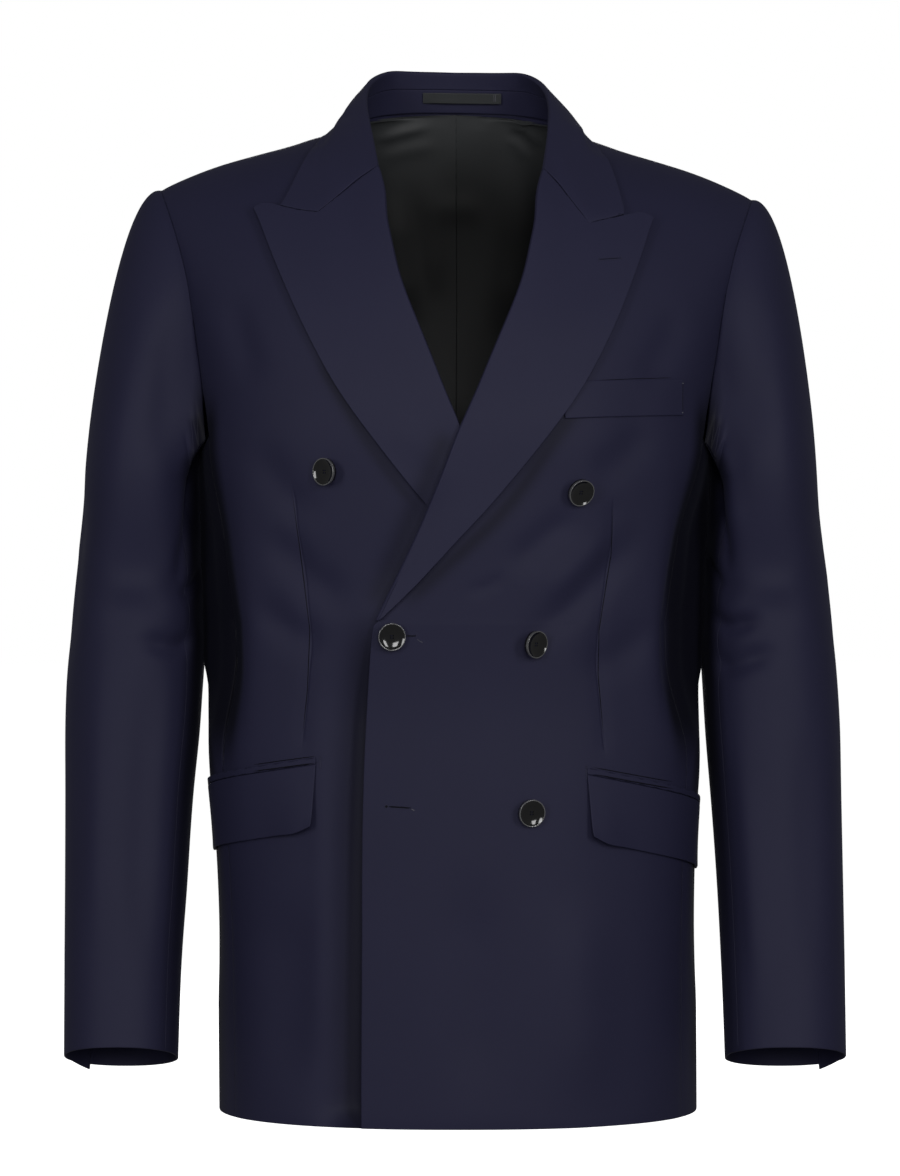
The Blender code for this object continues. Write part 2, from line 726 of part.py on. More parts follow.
def sleeve_ring(arm, z, turn):
    """Point of a sleeve ring at a height and an angle: 0 in front, 90 outside, 180 behind."""
    inside = read(SLEEVE, "in_" + arm, z)
    outside = read(SLEEVE, "out_" + arm, z)
    half = (outside - inside) / 2
    deep = read(SLEEVE, "depth", z) / 2
    across = math.sin(math.radians(turn))
    ahead = math.cos(math.radians(turn))
    for fold in SLEEVE_FOLDS:
        swing = (turn - fold["angle"] + 180) % 360 - 180
        rise = (z - fold["z"] - fold["slant"] * swing) / fold["across"]
        reach = swing / fold["along"]
        dent = fold["depth"] * math.exp(-rise * rise - reach * reach)
        half -= dent * abs(across)
        deep -= dent * abs(ahead)
    pitch = math.radians(read(SLEEVE, "pitch", z))
    out = power(across, 0.92) * half
    front = -power(ahead, 0.92) * deep
    return Vector((
        (inside + outside) / 2 + out,
        read(SLEEVE, "y", z) + front * math.cos(pitch),
        z - front * math.sin(pitch),
    ))


def ring_turns(frames):
    """Angle round the sleeve for each armhole sample, shared out by length."""
    count = len(frames)
    lengths = [0.0]
    for i in range(count):
        step = frames[(i + 1) % count]["point"] - frames[i]["point"]
        lengths.append(lengths[-1] + step.length)
    return [90.0 - 360.0 * length / lengths[-1] for length in lengths[:count]]


def make_sleeve(arm, frames, material, collection):
    turns = ring_turns(frames)
    count = len(frames)
    rows = []
    biceps = SLEEVE["z"][-1]
    for step in CAP_STEPS[:-1]:
        row = []
        for frame, turn in zip(frames, turns):
            start = frame["point"] + frame["start"] * (SEAM * 0.7)
            end = sleeve_ring(arm, biceps, turn)
            below = sleeve_ring(arm, biceps - 0.012, turn)
            chord = (end - start).length
            leave = frame["start"] * chord * CAP_LEAVE
            arrive = (below - end).normalized() * chord * 1.05
            t = step
            row.append(
                start * ((1 + 2 * t) * (1 - t) ** 2)
                + end * (t * t * (3 - 2 * t))
                + leave * (t * (1 - t) ** 2)
                - arrive * (t * t * (1 - t))
            )
        rows.append(row)
    for z in (biceps,) + SLEEVE_HEIGHTS:
        rows.append([sleeve_ring(arm, z, turn) for turn in turns])
    ring = [row + [row[0]] for row in rows]
    inner = []
    for r, row in enumerate(rows):
        line = []
        for c in range(count):
            around = row[(c + 1) % count] - row[c - 1]
            down = rows[min(r + 1, len(rows) - 1)][c] - rows[max(r - 1, 0)][c]
            normal = around.cross(down).normalized()
            centre = sum(row, Vector()) / count
            if normal.dot(row[c] - centre) < 0:
                normal.negate()
            line.append(row[c] - normal * CLOTH)
        if r == 0:
            line = [point + mitre(frame, frame["normal"]) for point, frame in zip(row, frames)]
        inner.append(line + [line[0]])
    forearm = min(range(count), key=lambda i: abs(turns[i] + 48.0))
    elbow = min(range(count), key=lambda i: abs(turns[i] + 360.0 - 148.0))
    pieces = {"under": list(range(forearm, elbow + 1)),
              "top": list(range(elbow, count)) + list(range(0, forearm + 1))}
    for piece, columns in pieces.items():
        face = [[ring[r][c].copy() for c in columns] for r in range(len(rows))]
        back = [[inner[r][c].copy() for c in columns] for r in range(len(rows))]
        if piece == "top":
            for skin in (face, back):
                for c, share in ((0, 1.0), (1, 0.4)):
                    along = (skin[-1][c] - skin[-2][c]).normalized()
                    skin[-1][c] += along * CUFF_STEP * share
        face = pull_back(face, 0, 0, SEAM / 2, SEAM / 2)
        back = pull_back(back, 0, 0, SEAM / 2, SEAM / 2)
        if arm == "right":
            face, back = mirror(face), mirror(back)
        sew_wall("sleeve_" + piece + "_" + arm, face, back, material, collection)


# Lapels and collar


def leaf_height(distance):
    """Height of the middle of a turned leaf above the front it lies on."""
    return 2 * CURL - CLOTH / 2 + LAPEL_RISE * distance


def fold_frame(side, z, radius=CURL):
    """Fold point of a lapel with its outward and upward directions."""
    def place(height):
        x = CENTRE_X + side * read(FRONT_EDGE, "x", height)
        return front_face(side, x, height)

    point, up = place(z)
    along = (place(z + 0.004)[0] - place(z - 0.004)[0]).normalized()
    out = along.cross(up)
    if out.x * side < 0:
        out.negate()
    return point + up * (radius - CLOTH / 2), out.normalized(), up


def curl_points(fold, out, up, radius):
    """Half turn of the cloth round a fold, from the inner leg to the outer one, and its normals."""
    centre = fold + out * (radius + CLOTH / 2)
    points = []
    normals = []
    for i in range(5):
        turn = math.radians(45 * i)
        facing = -out * math.sin(turn) - up * math.cos(turn)
        points.append(centre + facing * radius)
        normals.append(facing)
    return points, normals


def side_name(side):
    return "left" if side > 0 else "right"


def under_wrap(side, x, z):
    """0 where the under lapel lies beneath the over front, 1 well clear of it."""
    if side > 0:
        return 1.0
    fold_x = CENTRE_X + read(FRONT_EDGE, "x", z)
    clear = smooth((fold_x - 0.004 - x) / 0.030)
    return max(clear, smooth((z + 0.205) / 0.03))


def front_place(side, spot):
    """Place in the front plane of a spot measured from the centre line."""
    return CENTRE_X + side * spot[0], spot[1]


def gorge_place(side, fold_place, share):
    end = front_place(side, NOTCH[side_name(side)]["gorge_end"])
    return mix(fold_place[0], end[0], share), mix(fold_place[1], end[1], share)


def leaf_point(side, place, fold_place):
    distance = math.hypot(place[0] - fold_place[0], place[1] - fold_place[1])
    point, up = front_face(side, *place)
    height = leaf_height(distance)
    if side < 0:
        pressed = CLOTH / 2 + REST
        height = mix(pressed, height, under_wrap(side, *place))
    return point + up * height, up


def make_lapel(side, material, collection):
    rows = []
    known = []
    columns = GORGE_COLUMNS + PEAK_COLUMNS
    peak = NOTCH[side_name(side)]["peak"]
    for r in range(LAPEL_ROWS + 1):
        share = r / LAPEL_ROWS
        v = mix(share, share * (2 - share), 0.25)
        z = mix(BREAK_Z + 0.003, GORGE_Z - GORGE_GAP, v)
        fold, out, up = fold_frame(side, z)
        radius = CURL
        if side < 0:
            radius = mix((CLOTH + REST) / 2, CURL, under_wrap(side, fold.x, z))
            fold, out, up = fold_frame(side, z, radius)
        row, facings = curl_points(fold, out, up, radius)
        start = (row[-1].x, row[-1].z)
        row[0] -= out * SEAM
        facts = [(facing, 1.0) for facing in facings]
        edge_z = mix(BREAK_Z + 0.005, peak[-1][1], v)
        edge = front_place(side, (read(LAPEL_EDGE, side_name(side), edge_z), edge_z))
        bend = smooth((v - 0.72) / 0.28)
        for c in range(1, columns + 1):
            straight = c / columns
            place = (mix(start[0], edge[0], straight), mix(start[1], edge[1], straight))
            if c <= GORGE_COLUMNS:
                seam = gorge_place(side, start, c / GORGE_COLUMNS)
            else:
                seam = front_place(side, peak[c - GORGE_COLUMNS - 1])
            seam = (seam[0], seam[1] - GORGE_GAP)
            place = (mix(place[0], seam[0], bend), mix(place[1], seam[1], bend))
            point, up = leaf_point(side, place, start)
            row.append(point)
            facts.append((up, 1.0))
        rows.append(row)
        known.append(facts)
    sew_middle("lapel_" + side_name(side), rows, CLOTH, material, collection, known)


def collar_line(kind, t, side):
    x = side * read(COLLAR, kind + "_x", t, "t")
    y = read(COLLAR, kind + "_y", t, "t")
    z = read(COLLAR, kind + "_z", t, "t")
    centre = CENTRE_X if kind == "neck" else CENTRE_X * smooth((t - 0.5) / 0.5)
    return Vector((centre + x, y, z))


def collar_section(t, side):
    """Fold curl, neck edge and outer edge of the collar at one place along it."""
    fold = collar_line("fold", t, side)
    neck = collar_line("neck", t, side)
    edge = collar_line("edge", t, side)
    if t > 0.62:
        seam, seam_up = front_face(side, neck.x, neck.z)
        neck = neck.lerp(seam - seam_up * CLOTH / 2, smooth((t - 0.62) / 0.2))
    step = 0.02
    along = (collar_line("fold", min(t + step, 1), side) - collar_line("fold", max(t - step, 0), side))
    along.normalize()
    if t < step:
        along = Vector((side, 0, 0))
    out = ((neck - fold).normalized() + (edge - fold).normalized()).normalized()
    out = (out - along * out.dot(along)).normalized()
    up = along.cross(out)
    if up.dot(Vector((fold.x - CENTRE_X, fold.y, 0))) < 0:
        up.negate()
    lapel_fold, lapel_out, lapel_up = fold_frame(side, GORGE_Z + SEAM / 2)
    share = smooth((t - 0.62) / 0.38)
    fold = fold + (lapel_fold - collar_line("fold", 1.0, side)) * share
    out = out.lerp(lapel_out, share).normalized()
    up = up.lerp(lapel_up, share)
    up = (up - out * up.dot(out)).normalized()
    curl, facings = curl_points(fold, out, up, CURL)
    return curl, facings, neck, edge


def stand_share(t):
    return STAND_SHARE * (1 - smooth((t - 0.62) / (STAND_END - 0.62)))


def stand_foot(neck, fold, t):
    """Foot of the stand, just above the neck edge of the body."""
    towards = (fold - neck).normalized()
    return neck + towards * SEAM * mix(1.0, 4.0, smooth((t - 0.5) / 0.3)) + Vector((0, 0, SEAM * 2))


def skin_tree(grids):
    """Search tree over the outer faces of the upper body panels."""
    points = []
    quads = []
    for rows in grids:
        width = len(rows[0])
        first = len(points)
        for row in rows:
            points.extend(row)
        for r in range(len(rows) - 1):
            for c in range(width - 1):
                corner = first + r * width + c
                quads.append((corner, corner + 1, corner + width + 1, corner + width))
    return BVHTree.FromPolygons(points, quads)


def seat(skin, point, height):
    """Place at a height above the nearest part of the body."""
    face, up = outward(skin, point)
    return face + up * height


def outward(skin, point):
    face, up, _, _ = skin.find_nearest(point)
    if up.dot(face - BODY_MIDDLE) < 0:
        up = -up
    return face, up


def clear_body(skin, point, height):
    """Moves a collar point out until it stands clear of the body below it."""
    face, up = outward(skin, point)
    gap = point - face
    if gap.length >= height and gap.dot(up) > -0.5 * gap.length:
        return point
    if gap.dot(up) > 0.3 * gap.length:
        return face + gap.normalized() * height
    return face + up * height


def collar_row(skin, t, side):
    curl, facings, neck, edge = collar_section(t, side)
    foot = stand_foot(neck, curl[0], t)
    seam = curl[0].lerp(foot, 1 - stand_share(t))
    seam += (curl[0] - foot).normalized() * SEAM / 2
    row = [seam, seam.lerp(curl[0], 0.5)] + curl
    facts = [(facings[0], 1.0)] * 2 + [(facing, 1.0) for facing in facings]
    start = curl[-1]
    place = (start.x, start.z)
    columns = GORGE_COLUMNS + CORNER_COLUMNS
    notch = NOTCH[side_name(side)]
    corner = (notch["peak"][0], notch["corner"])
    share = smooth((t - 0.78) / 0.22)
    edge = seat(skin, edge, EDGE_LIFT)
    crown = (curl[3] - curl[1]).normalized() * COLLAR_CROWN * (1 - share)
    for c in range(1, columns + 1):
        s = c / columns
        point = start.lerp(edge, s) + crown * math.sin(math.pi * s)
        point = clear_body(skin, point, EDGE_LIFT)
        if c <= GORGE_COLUMNS:
            seam_place = gorge_place(side, place, c / GORGE_COLUMNS)
        else:
            seam_place = front_place(side, corner[c - GORGE_COLUMNS - 1])
        seam_place = (seam_place[0], seam_place[1] + GORGE_GAP)
        up = facings[-1]
        if share > 0:
            seamed, up = leaf_point(side, seam_place, place)
            lift = SHOULDER_LIFT + CREST_LIFT * math.sin(math.pi * share) * s
            point = clear_body(skin, point.lerp(seamed, share), lift)
        row.append(point)
        facts.append((up, share))
    return row, facts


def make_collar(skin, material, collection):
    fall = []
    known = []
    stand = []
    stand_known = []
    steps = []
    for i in range(COLLAR_ROWS, 0, -1):
        steps.append((i / COLLAR_ROWS, -1))
    for i in range(COLLAR_ROWS + 1):
        steps.append((i / COLLAR_ROWS, 1))
    for t, side in steps:
        row, facts = collar_row(skin, t, side)
        fall.append(row)
        known.append(facts)
        if t < STAND_END:
            curl, facings, neck, _ = collar_section(t, side)
            foot = stand_foot(neck, curl[0], t)
            top = curl[0].lerp(foot, 1 - stand_share(t))
            top -= (curl[0] - foot).normalized() * SEAM / 2
            stand.append([foot, foot.lerp(top, 0.5), top])
            stand_known.append([(facings[0], 1.0)] * 3)
    sew_middle("collar_fall", fall, CLOTH, material, collection, known)
    sew_middle("collar_stand", stand, CLOTH, material, collection, stand_known)


def make_loop(material, collection):
    """Satin hanger loop: a flat strip bowed off the stand and sewn down at both ends."""
    rows = []
    for r in range(4):
        row = []
        z = HANGER["low"] + HANGER["height"] * r / 3
        for c in range(11):
            share = c / 10 * 2 - 1
            x = CENTRE_X + HANGER["centre"] + HANGER["half"] * share
            side = 1 if x >= 0 else -1
            t = 0.2 * abs(x) / 0.0335
            curl, _, neck, _ = collar_section(t, side)
            foot = stand_foot(neck, curl[0], t)
            up = (z - foot.z) / (curl[0].z - foot.z)
            wall = foot.lerp(curl[0], up)
            bow = HANGER["bow"] * (1 - share ** 6) * smooth((1 - abs(share)) / 0.35)
            away = CLOTH / 2 + SEAM + SATIN / 2 + 0.0004 + bow
            row.append(Vector((x, wall.y - away, z)))
        rows.append(row)
    sew_middle("hanger_loop", rows, SATIN, material, collection)


# Pockets


def laid_strip(name, side, places, lifts, thickness, material, collection):
    """Piece of cloth that follows the front, from a grid of places in angle and level."""
    outer = []
    inner = []
    for row, heights in zip(places, lifts):
        face = []
        back = []
        for (angle, level), height in zip(row, heights):
            lift = wrap_lift(angle, level) if side > 0 else 0.0
            face.append(body(angle, level, lift + height + thickness))
            back.append(body(angle, level, lift + height))
        outer.append(face)
        inner.append(back)
    sew_wall(name, outer, inner, material, collection)


def make_welt(material, collection):
    columns = WELT_COLUMNS
    places = []
    lifts = []
    for r in range(3):
        row = []
        for c in range(columns + 1):
            x = mix(WELT["left"], WELT["right"], c / columns)
            z = mix(WELT["bottom"], WELT["top"], r / 2) + WELT["slope"] * (x - WELT["left"])
            row.append(locate(CENTRE_X + x, z))
        places.append(row)
        lifts.append([REST] * (columns + 1))
    laid_strip("breast_welt", 1, places, lifts, CLOTH, material, collection)


def pocket_angles(side, z, columns):
    """Angles at even steps of length round the body from the front end of the pocket mouth."""
    start = locate(POCKET_MOUTH[side_name(side)]["front"], z)[0]
    angles = [start]
    step = POCKET["length"] / columns
    angle = start
    for _ in range(columns):
        walked = 0.0
        last = body_form(angle, level_of(z))
        while walked < step:
            angle -= 0.25
            point = body_form(angle, level_of(z))
            walked += (point - last).length
            last = point
        angles.append(angle)
    return angles if side > 0 else [180 - angle for angle in angles]


def make_pocket(side, material, collection):
    columns = POCKET_COLUMNS
    name = side_name(side)
    mouth = POCKET_MOUTH[name]
    angles = pocket_angles(side, mouth["z"], columns)
    step = POCKET["length"] / columns
    jet_places = []
    flap_places = []
    flap_lifts = []
    for r in range(3):
        drop = POCKET["jet"] * (1 - r / 2)
        jet_places.append([
            (angle, level_of(mouth["z"] + mouth["slope"] * step * c - drop))
            for c, angle in enumerate(angles)
        ])
    for r in range(FLAP_ROWS + 1):
        down = 1 - r / FLAP_ROWS
        row = []
        heights = []
        for c, angle in enumerate(angles):
            share = c / columns
            front_end = 1 - smooth(share / 0.30)
            lean = POCKET["lean"] * down * (1 - share)
            back_step = (angles[min(c + 1, columns)] - angles[max(c - 1, 0)]) / 2 / step
            if c == 0:
                back_step = (angles[1] - angles[0]) / step
            top = mouth["z"] + mouth["slope"] * step * c - POCKET["jet"] - SEAM * 2
            fall = POCKET["flap"] * down
            corner = 0.0035 * (1 - smooth(share / 0.06)) * (1 if r == 0 else 0)
            rear = 0.0035 * smooth((share - 0.94) / 0.06) * (1 if r == 0 else 0)
            row.append((angle + back_step * lean, level_of(top - fall + corner + rear)))
            lift = REST + 0.0010 * down + POCKET["corner_lift"] * front_end * down ** 1.6
            heights.append(lift)
        flap_places.append(row)
        flap_lifts.append(heights)
    jet_lifts = [[REST + SEAM / 2] * (columns + 1)] * 3
    laid_strip("pocket_jet_" + name, side, jet_places, jet_lifts, JET_CLOTH, material, collection)
    laid_strip("pocket_flap_" + name, side, flap_places, flap_lifts, CLOTH, material, collection)


# Buttons


def button_profile():
    """Half section of a button: flat back, rounded rim and dished face."""
    r = BUTTON_RADIUS
    d = BUTTON_DEPTH
    return ((0.0, 0.62 * d), (0.58 * r, 0.66 * d), (0.75 * r, 0.98 * d), (0.88 * r, d),
            (r, 0.55 * d), (0.92 * r, 0.15 * d), (0.74 * r, 0.0), (0.0, 0.0))


def make_buttons(material, collection, cutters):
    for i in range(len(BUTTONS["side"])):
        side = BUTTONS["side"][i]
        x = BUTTONS["x"][i]
        point, up = front_face(side, x, BUTTONS["z"][i])
        place = settle(point) + up * REST
        turn = Matrix.Rotation(math.radians(BUTTONS["turn"][i]), 3, "Z")
        facing = up.to_track_quat("Z", "Y").to_matrix()
        tilt = Matrix.Rotation(math.radians(BUTTONS["dip"][i]) * 0.5, 3, "X")
        lean = math.sin(math.radians(abs(BUTTONS["dip"][i]) * 0.5)) * BUTTON_RADIUS * 0.74
        place += up * lean
        name = "button_" + str(i + 1)
        mesh = bpy.data.meshes.new(name)
        bm = bmesh.new()
        verts = [bm.verts.new((radius, 0, z)) for radius, z in button_profile()]
        edges = [bm.edges.new((a, b)) for a, b in zip(verts, verts[1:])]
        bmesh.ops.spin(bm, geom=verts + edges, cent=(0, 0, 0), axis=(0, 0, 1), angle=2 * math.pi,
                       steps=18, use_merge=True)
        bmesh.ops.remove_doubles(bm, verts=bm.verts, dist=1e-6)
        bmesh.ops.recalc_face_normals(bm, faces=bm.faces)
        bm.to_mesh(mesh)
        bm.free()
        mesh.shade_smooth()
        mesh.set_sharp_from_angle(angle=math.radians(35))
        mesh.materials.append(material)
        button = bpy.data.objects.new(name, mesh)
        collection.objects.link(button)
        drill = bpy.data.meshes.new(name + "_holes")
        bm = bmesh.new()
        for h in range(4):
            angle = math.radians(45 + 90 * h)
            spot = Vector((math.cos(angle), math.sin(angle), 0)) * BUTTON_HOLE_PITCH * 0.72
            made = bmesh.ops.create_cone(bm, cap_ends=True, segments=6, radius1=BUTTON_HOLE,
                                         radius2=BUTTON_HOLE, depth=4 * BUTTON_DEPTH)
            bmesh.ops.translate(bm, verts=made["verts"], vec=spot)
        bm.to_mesh(drill)
        bm.free()
        holes = bpy.data.objects.new(name + "_holes", drill)
        cutters.objects.link(holes)
        holes.hide_render = True
        holes.display_type = "WIRE"
        for thing in (button, holes):
            thing.matrix_world = Matrix.Translation(place) @ (facing @ tilt @ turn).to_4x4()
        cut = button.modifiers.new("holes", "BOOLEAN")
        cut.operation = "DIFFERENCE"
        cut.object = holes
        cut.solver = "EXACT"


def main():
    for old in list(bpy.data.objects):
        bpy.data.objects.remove(old, do_unlink=True)
    blazer = bpy.data.collections.new("double_breasted_blazer")
    cutters = bpy.data.collections.new("cutters")
    bpy.context.scene.collection.children.link(blazer)
    bpy.context.scene.collection.children.link(cutters)
    wool = make_material("navy_wool", NAVY, 0.85)
    facing = make_material("navy_wool_facing", LAPEL_NAVY, 0.80)
    satin = make_material("grey_satin", LINING_GREY, 0.40)
    gloss = make_material("black_button", BUTTON_BLACK, 0.18)
    frames = armhole_frames()
    upper_body = []
    for side in (-1, 1):
        upper_body.append(make_front(side, frames, wool, blazer))
        make_side(side, frames, wool, blazer)
        upper_body.append(make_back(side, frames, wool, blazer))
        make_lining(side, satin, blazer)
        make_lapel(side, facing, blazer)
        make_pocket(side, wool, blazer)
    for arm in ("right", "left"):
        make_sleeve(arm, frames, wool, blazer)
    make_collar(skin_tree(upper_body), facing, blazer)
    make_loop(satin, blazer)
    make_welt(wool, blazer)
    make_buttons(gloss, blazer, cutters)


main()
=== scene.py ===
import math

import bmesh
import bpy
import numpy as np
from mathutils import Matrix, Vector
from mathutils.bvhtree import BVHTree
from mathutils.kdtree import KDTree


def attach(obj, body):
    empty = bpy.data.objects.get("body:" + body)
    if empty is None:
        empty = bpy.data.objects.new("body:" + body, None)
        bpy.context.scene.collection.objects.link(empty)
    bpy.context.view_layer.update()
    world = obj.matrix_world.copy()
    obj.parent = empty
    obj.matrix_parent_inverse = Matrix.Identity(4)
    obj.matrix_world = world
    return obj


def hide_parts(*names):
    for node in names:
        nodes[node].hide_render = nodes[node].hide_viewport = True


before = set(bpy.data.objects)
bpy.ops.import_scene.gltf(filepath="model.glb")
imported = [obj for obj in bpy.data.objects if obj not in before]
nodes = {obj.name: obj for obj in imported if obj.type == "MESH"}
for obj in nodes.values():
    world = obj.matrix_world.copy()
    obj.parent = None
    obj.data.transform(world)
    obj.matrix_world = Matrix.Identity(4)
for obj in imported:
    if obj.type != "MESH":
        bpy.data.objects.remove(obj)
bpy.ops.object.select_all(action="DESELECT")
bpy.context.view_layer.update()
print("frame loaded:", len(nodes), "solids")


# Small helpers

tiny = 1e-9  # keeps a division from one by nothing


def smooth(value):
    value = np.clip(value, 0.0, 1.0)
    return value * value * (3.0 - 2.0 * value)


def readPoints(mesh):
    points = np.empty(len(mesh.vertices) * 3)
    mesh.vertices.foreach_get("co", points)
    return points.reshape(-1, 3)


def writePoints(mesh, points):
    mesh.vertices.foreach_set("co", np.asarray(points, dtype=np.float32).ravel())
    mesh.update()


def only(piece):
    bpy.ops.object.select_all(action="DESELECT")
    piece.select_set(True)
    bpy.context.view_layer.objects.active = piece


def applyModifiers(piece):
    only(piece)
    for modifier in list(piece.modifiers):
        bpy.ops.object.modifier_apply(modifier=modifier.name)


def applyPlace():
    bpy.ops.object.transform_apply(location=True, rotation=True, scale=True)


def smoothOver(piece, degrees):
    only(piece)
    bpy.ops.object.shade_smooth_by_angle(angle=math.radians(degrees))


# Materials

bandScale = 0.31416  # the scale at which a wave texture's bands lie one unit apart


def newMaterial(name, roughness, extras):
    material = bpy.data.materials.new(name)
    material.use_nodes = True
    shader = material.node_tree.nodes["Principled BSDF"]
    shader.inputs["Roughness"].default_value = roughness
    for socket, value in extras.items():
        shader.inputs[socket].default_value = value
    return material, material.node_tree, shader


def addNode(tree, kind, **facts):
    node = tree.nodes.new(kind)
    for name, value in facts.items():
        if name in node.inputs:
            node.inputs[name].default_value = value
        else:
            setattr(node, name, value)
    return node


def objectPlaces(tree):
    return addNode(tree, "ShaderNodeTexCoord").outputs["Object"]


def clothPlaces(tree):
    return addNode(tree, "ShaderNodeUVMap", uv_map="clothMap").outputs["UV"]


def attribute(tree, name):
    return addNode(tree, "ShaderNodeAttribute", attribute_name=name).outputs["Fac"]


def noise(tree, vector, scale, detail=3.0, rough=0.5):
    node = addNode(tree, "ShaderNodeTexNoise", Scale=scale, Detail=detail, Roughness=rough)
    tree.links.new(vector, node.inputs["Vector"])
    return node.outputs["Fac"]


def wave(tree, vector, scale, turn, distortion, detail):
    place = addNode(tree, "ShaderNodeMapping")
    place.inputs["Rotation"].default_value = (0, 0, turn)
    tree.links.new(vector, place.inputs["Vector"])
    node = addNode(tree, "ShaderNodeTexWave", Scale=scale, Distortion=distortion, Detail=detail)
    node.bands_direction = "X"
    tree.links.new(place.outputs["Vector"], node.inputs["Vector"])
    return node.outputs["Fac"]


def spread(tree, value, low, high):
    node = addNode(tree, "ShaderNodeMapRange")
    node.inputs["To Min"].default_value = low
    node.inputs["To Max"].default_value = high
    tree.links.new(value, node.inputs["Value"])
    return node.outputs["Result"]


def times(tree, first, second):
    node = addNode(tree, "ShaderNodeMath", operation="MULTIPLY")
    tree.links.new(first, node.inputs[0])
    tree.links.new(second, node.inputs[1])
    return node.outputs["Value"]


def plus(tree, first, second, share):
    node = addNode(tree, "ShaderNodeMath", operation="MULTIPLY_ADD")
    tree.links.new(second, node.inputs[0])
    node.inputs[1].default_value = share
    tree.links.new(first, node.inputs[2])
    return node.outputs["Value"]


def blendColours(tree, fac, colours):
    ramp = addNode(tree, "ShaderNodeValToRGB")
    ramp.color_ramp.elements[0].color = (*colours["dark"], 1)
    ramp.color_ramp.elements[1].color = (*colours["light"], 1)
    tree.links.new(fac, ramp.inputs["Fac"])
    return ramp.outputs["Color"]


def tone(tree, colour, value):
    node = addNode(tree, "ShaderNodeHueSaturation")
    tree.links.new(colour, node.inputs["Color"])
    tree.links.new(value, node.inputs["Value"])
    return node.outputs["Color"]


def bump(tree, shader, height, strength, distance):
    node = addNode(tree, "ShaderNodeBump", Strength=strength, Distance=distance)
    tree.links.new(height, node.inputs["Height"])
    tree.links.new(node.outputs["Normal"], shader.inputs["Normal"])


# Colours are dark and light, sizes are metres, and shades are multiplied into the colour
woolLook = {
    "body": {"dark": (0.0140, 0.0138, 0.0345), "light": (0.0240, 0.0236, 0.0575)},
    "facing": {"dark": (0.0165, 0.0163, 0.0385), "light": (0.0280, 0.0276, 0.0640)},
    "lining": {"dark": (0.012, 0.013, 0.014), "light": (0.022, 0.023, 0.025)},
    "twillPitch": 0.00075,
    "twillTurn": math.radians(28),
    "twillShades": (0.35, 1.0),
    "warpCount": 1.45,
    "warpShades": (0.6, 1.0),
    "yarnScale": 900.0,
    "yarnShades": (0.86, 1.16),
    "mottleScale": 14.0,
    "mottleShades": (0.92, 1.08),
    "liningScale": 60.0,
    # painted shade: the share of the colour that is left where a point's shade mark is full
    "darkestPaintedShade": 0.06,
    "roughness": 0.58,
    "roughnessSpread": (0.52, 0.66),
    "liningRoughness": (0.40, 0.48),
    "sheen": 0.03,
    "sheenRoughness": 0.45,
    "sheenTint": (0.55, 0.58, 0.85, 1),
    "specular": 0.16,
    "bump": 0.55,
    "relief": 0.00005,
}


def makeWool(name, colours):
    look = woolLook
    material, tree, shader = newMaterial(name, look["roughness"], {
        "Sheen Weight": look["sheen"],
        "Sheen Roughness": look["sheenRoughness"],
        "Sheen Tint": look["sheenTint"],
        "Specular IOR Level": look["specular"],
    })
    place = clothPlaces(tree)
    solid = objectPlaces(tree)
    scale = bandScale / look["twillPitch"]
    twill = wave(tree, place, scale, look["twillTurn"], distortion=1.2, detail=2.0)
    warp = wave(tree, place, scale * look["warpCount"], 0.0, distortion=0.8, detail=1.0)
    weave = times(tree, spread(tree, twill, *look["twillShades"]), spread(tree, warp, *look["warpShades"]))
    colour = blendColours(tree, weave, colours)
    yarn = noise(tree, place, look["yarnScale"], detail=2.0, rough=0.6)
    mottle = noise(tree, solid, look["mottleScale"], detail=4.0, rough=0.55)
    value = times(tree, spread(tree, yarn, *look["yarnShades"]), spread(tree, mottle, *look["mottleShades"]))
    # painted shade: each point's shade mark darkens the colour between the sleeves and the body, at the side
    # edges, beside the over front and under the lapels
    shade = spread(tree, attribute(tree, "shade"), 1.0, look["darkestPaintedShade"])
    colour = tone(tree, colour, times(tree, value, shade))
    # the inside of a panel is lined, so one shell has both cloths
    lined = attribute(tree, "lined")
    lining = blendColours(tree, noise(tree, solid, look["liningScale"]), look["lining"])
    mixer = addNode(tree, "ShaderNodeMix", data_type="RGBA")
    tree.links.new(lined, mixer.inputs["Factor"])
    tree.links.new(colour, mixer.inputs[6])
    tree.links.new(lining, mixer.inputs[7])
    tree.links.new(mixer.outputs[2], shader.inputs["Base Color"])
    polish = addNode(tree, "ShaderNodeMix", data_type="FLOAT")
    tree.links.new(lined, polish.inputs["Factor"])
    tree.links.new(spread(tree, yarn, *look["roughnessSpread"]), polish.inputs[2])
    tree.links.new(spread(tree, yarn, *look["liningRoughness"]), polish.inputs[3])
    tree.links.new(polish.outputs[0], shader.inputs["Roughness"])
    bump(tree, shader, plus(tree, weave, yarn, share=0.5), look["bump"], look["relief"])
    return material


satinLook = {
    "dark": (0.0120, 0.0128, 0.0136),
    "light": (0.0220, 0.0234, 0.0246),
    "pitch": 0.0004,
    "cloudScale": 30.0,
    "cloudShades": (0.9, 1.1),
    # painted light and shade: the lining is darker low down and lighter towards the top
    "heights": (-0.060, 0.016),  # between these heights the cloth goes from the first shade to the second
    "paintedShadeToLight": (0.58, 2.30),
    "roughness": 0.44,
    "roughnessSpread": (0.39, 0.50),
    "sheen": 0.02,
    "sheenRoughness": 0.35,
    "specular": 0.22,
    "anisotropic": 0.35,
    "bump": 0.25,
    "relief": 0.00002,
}


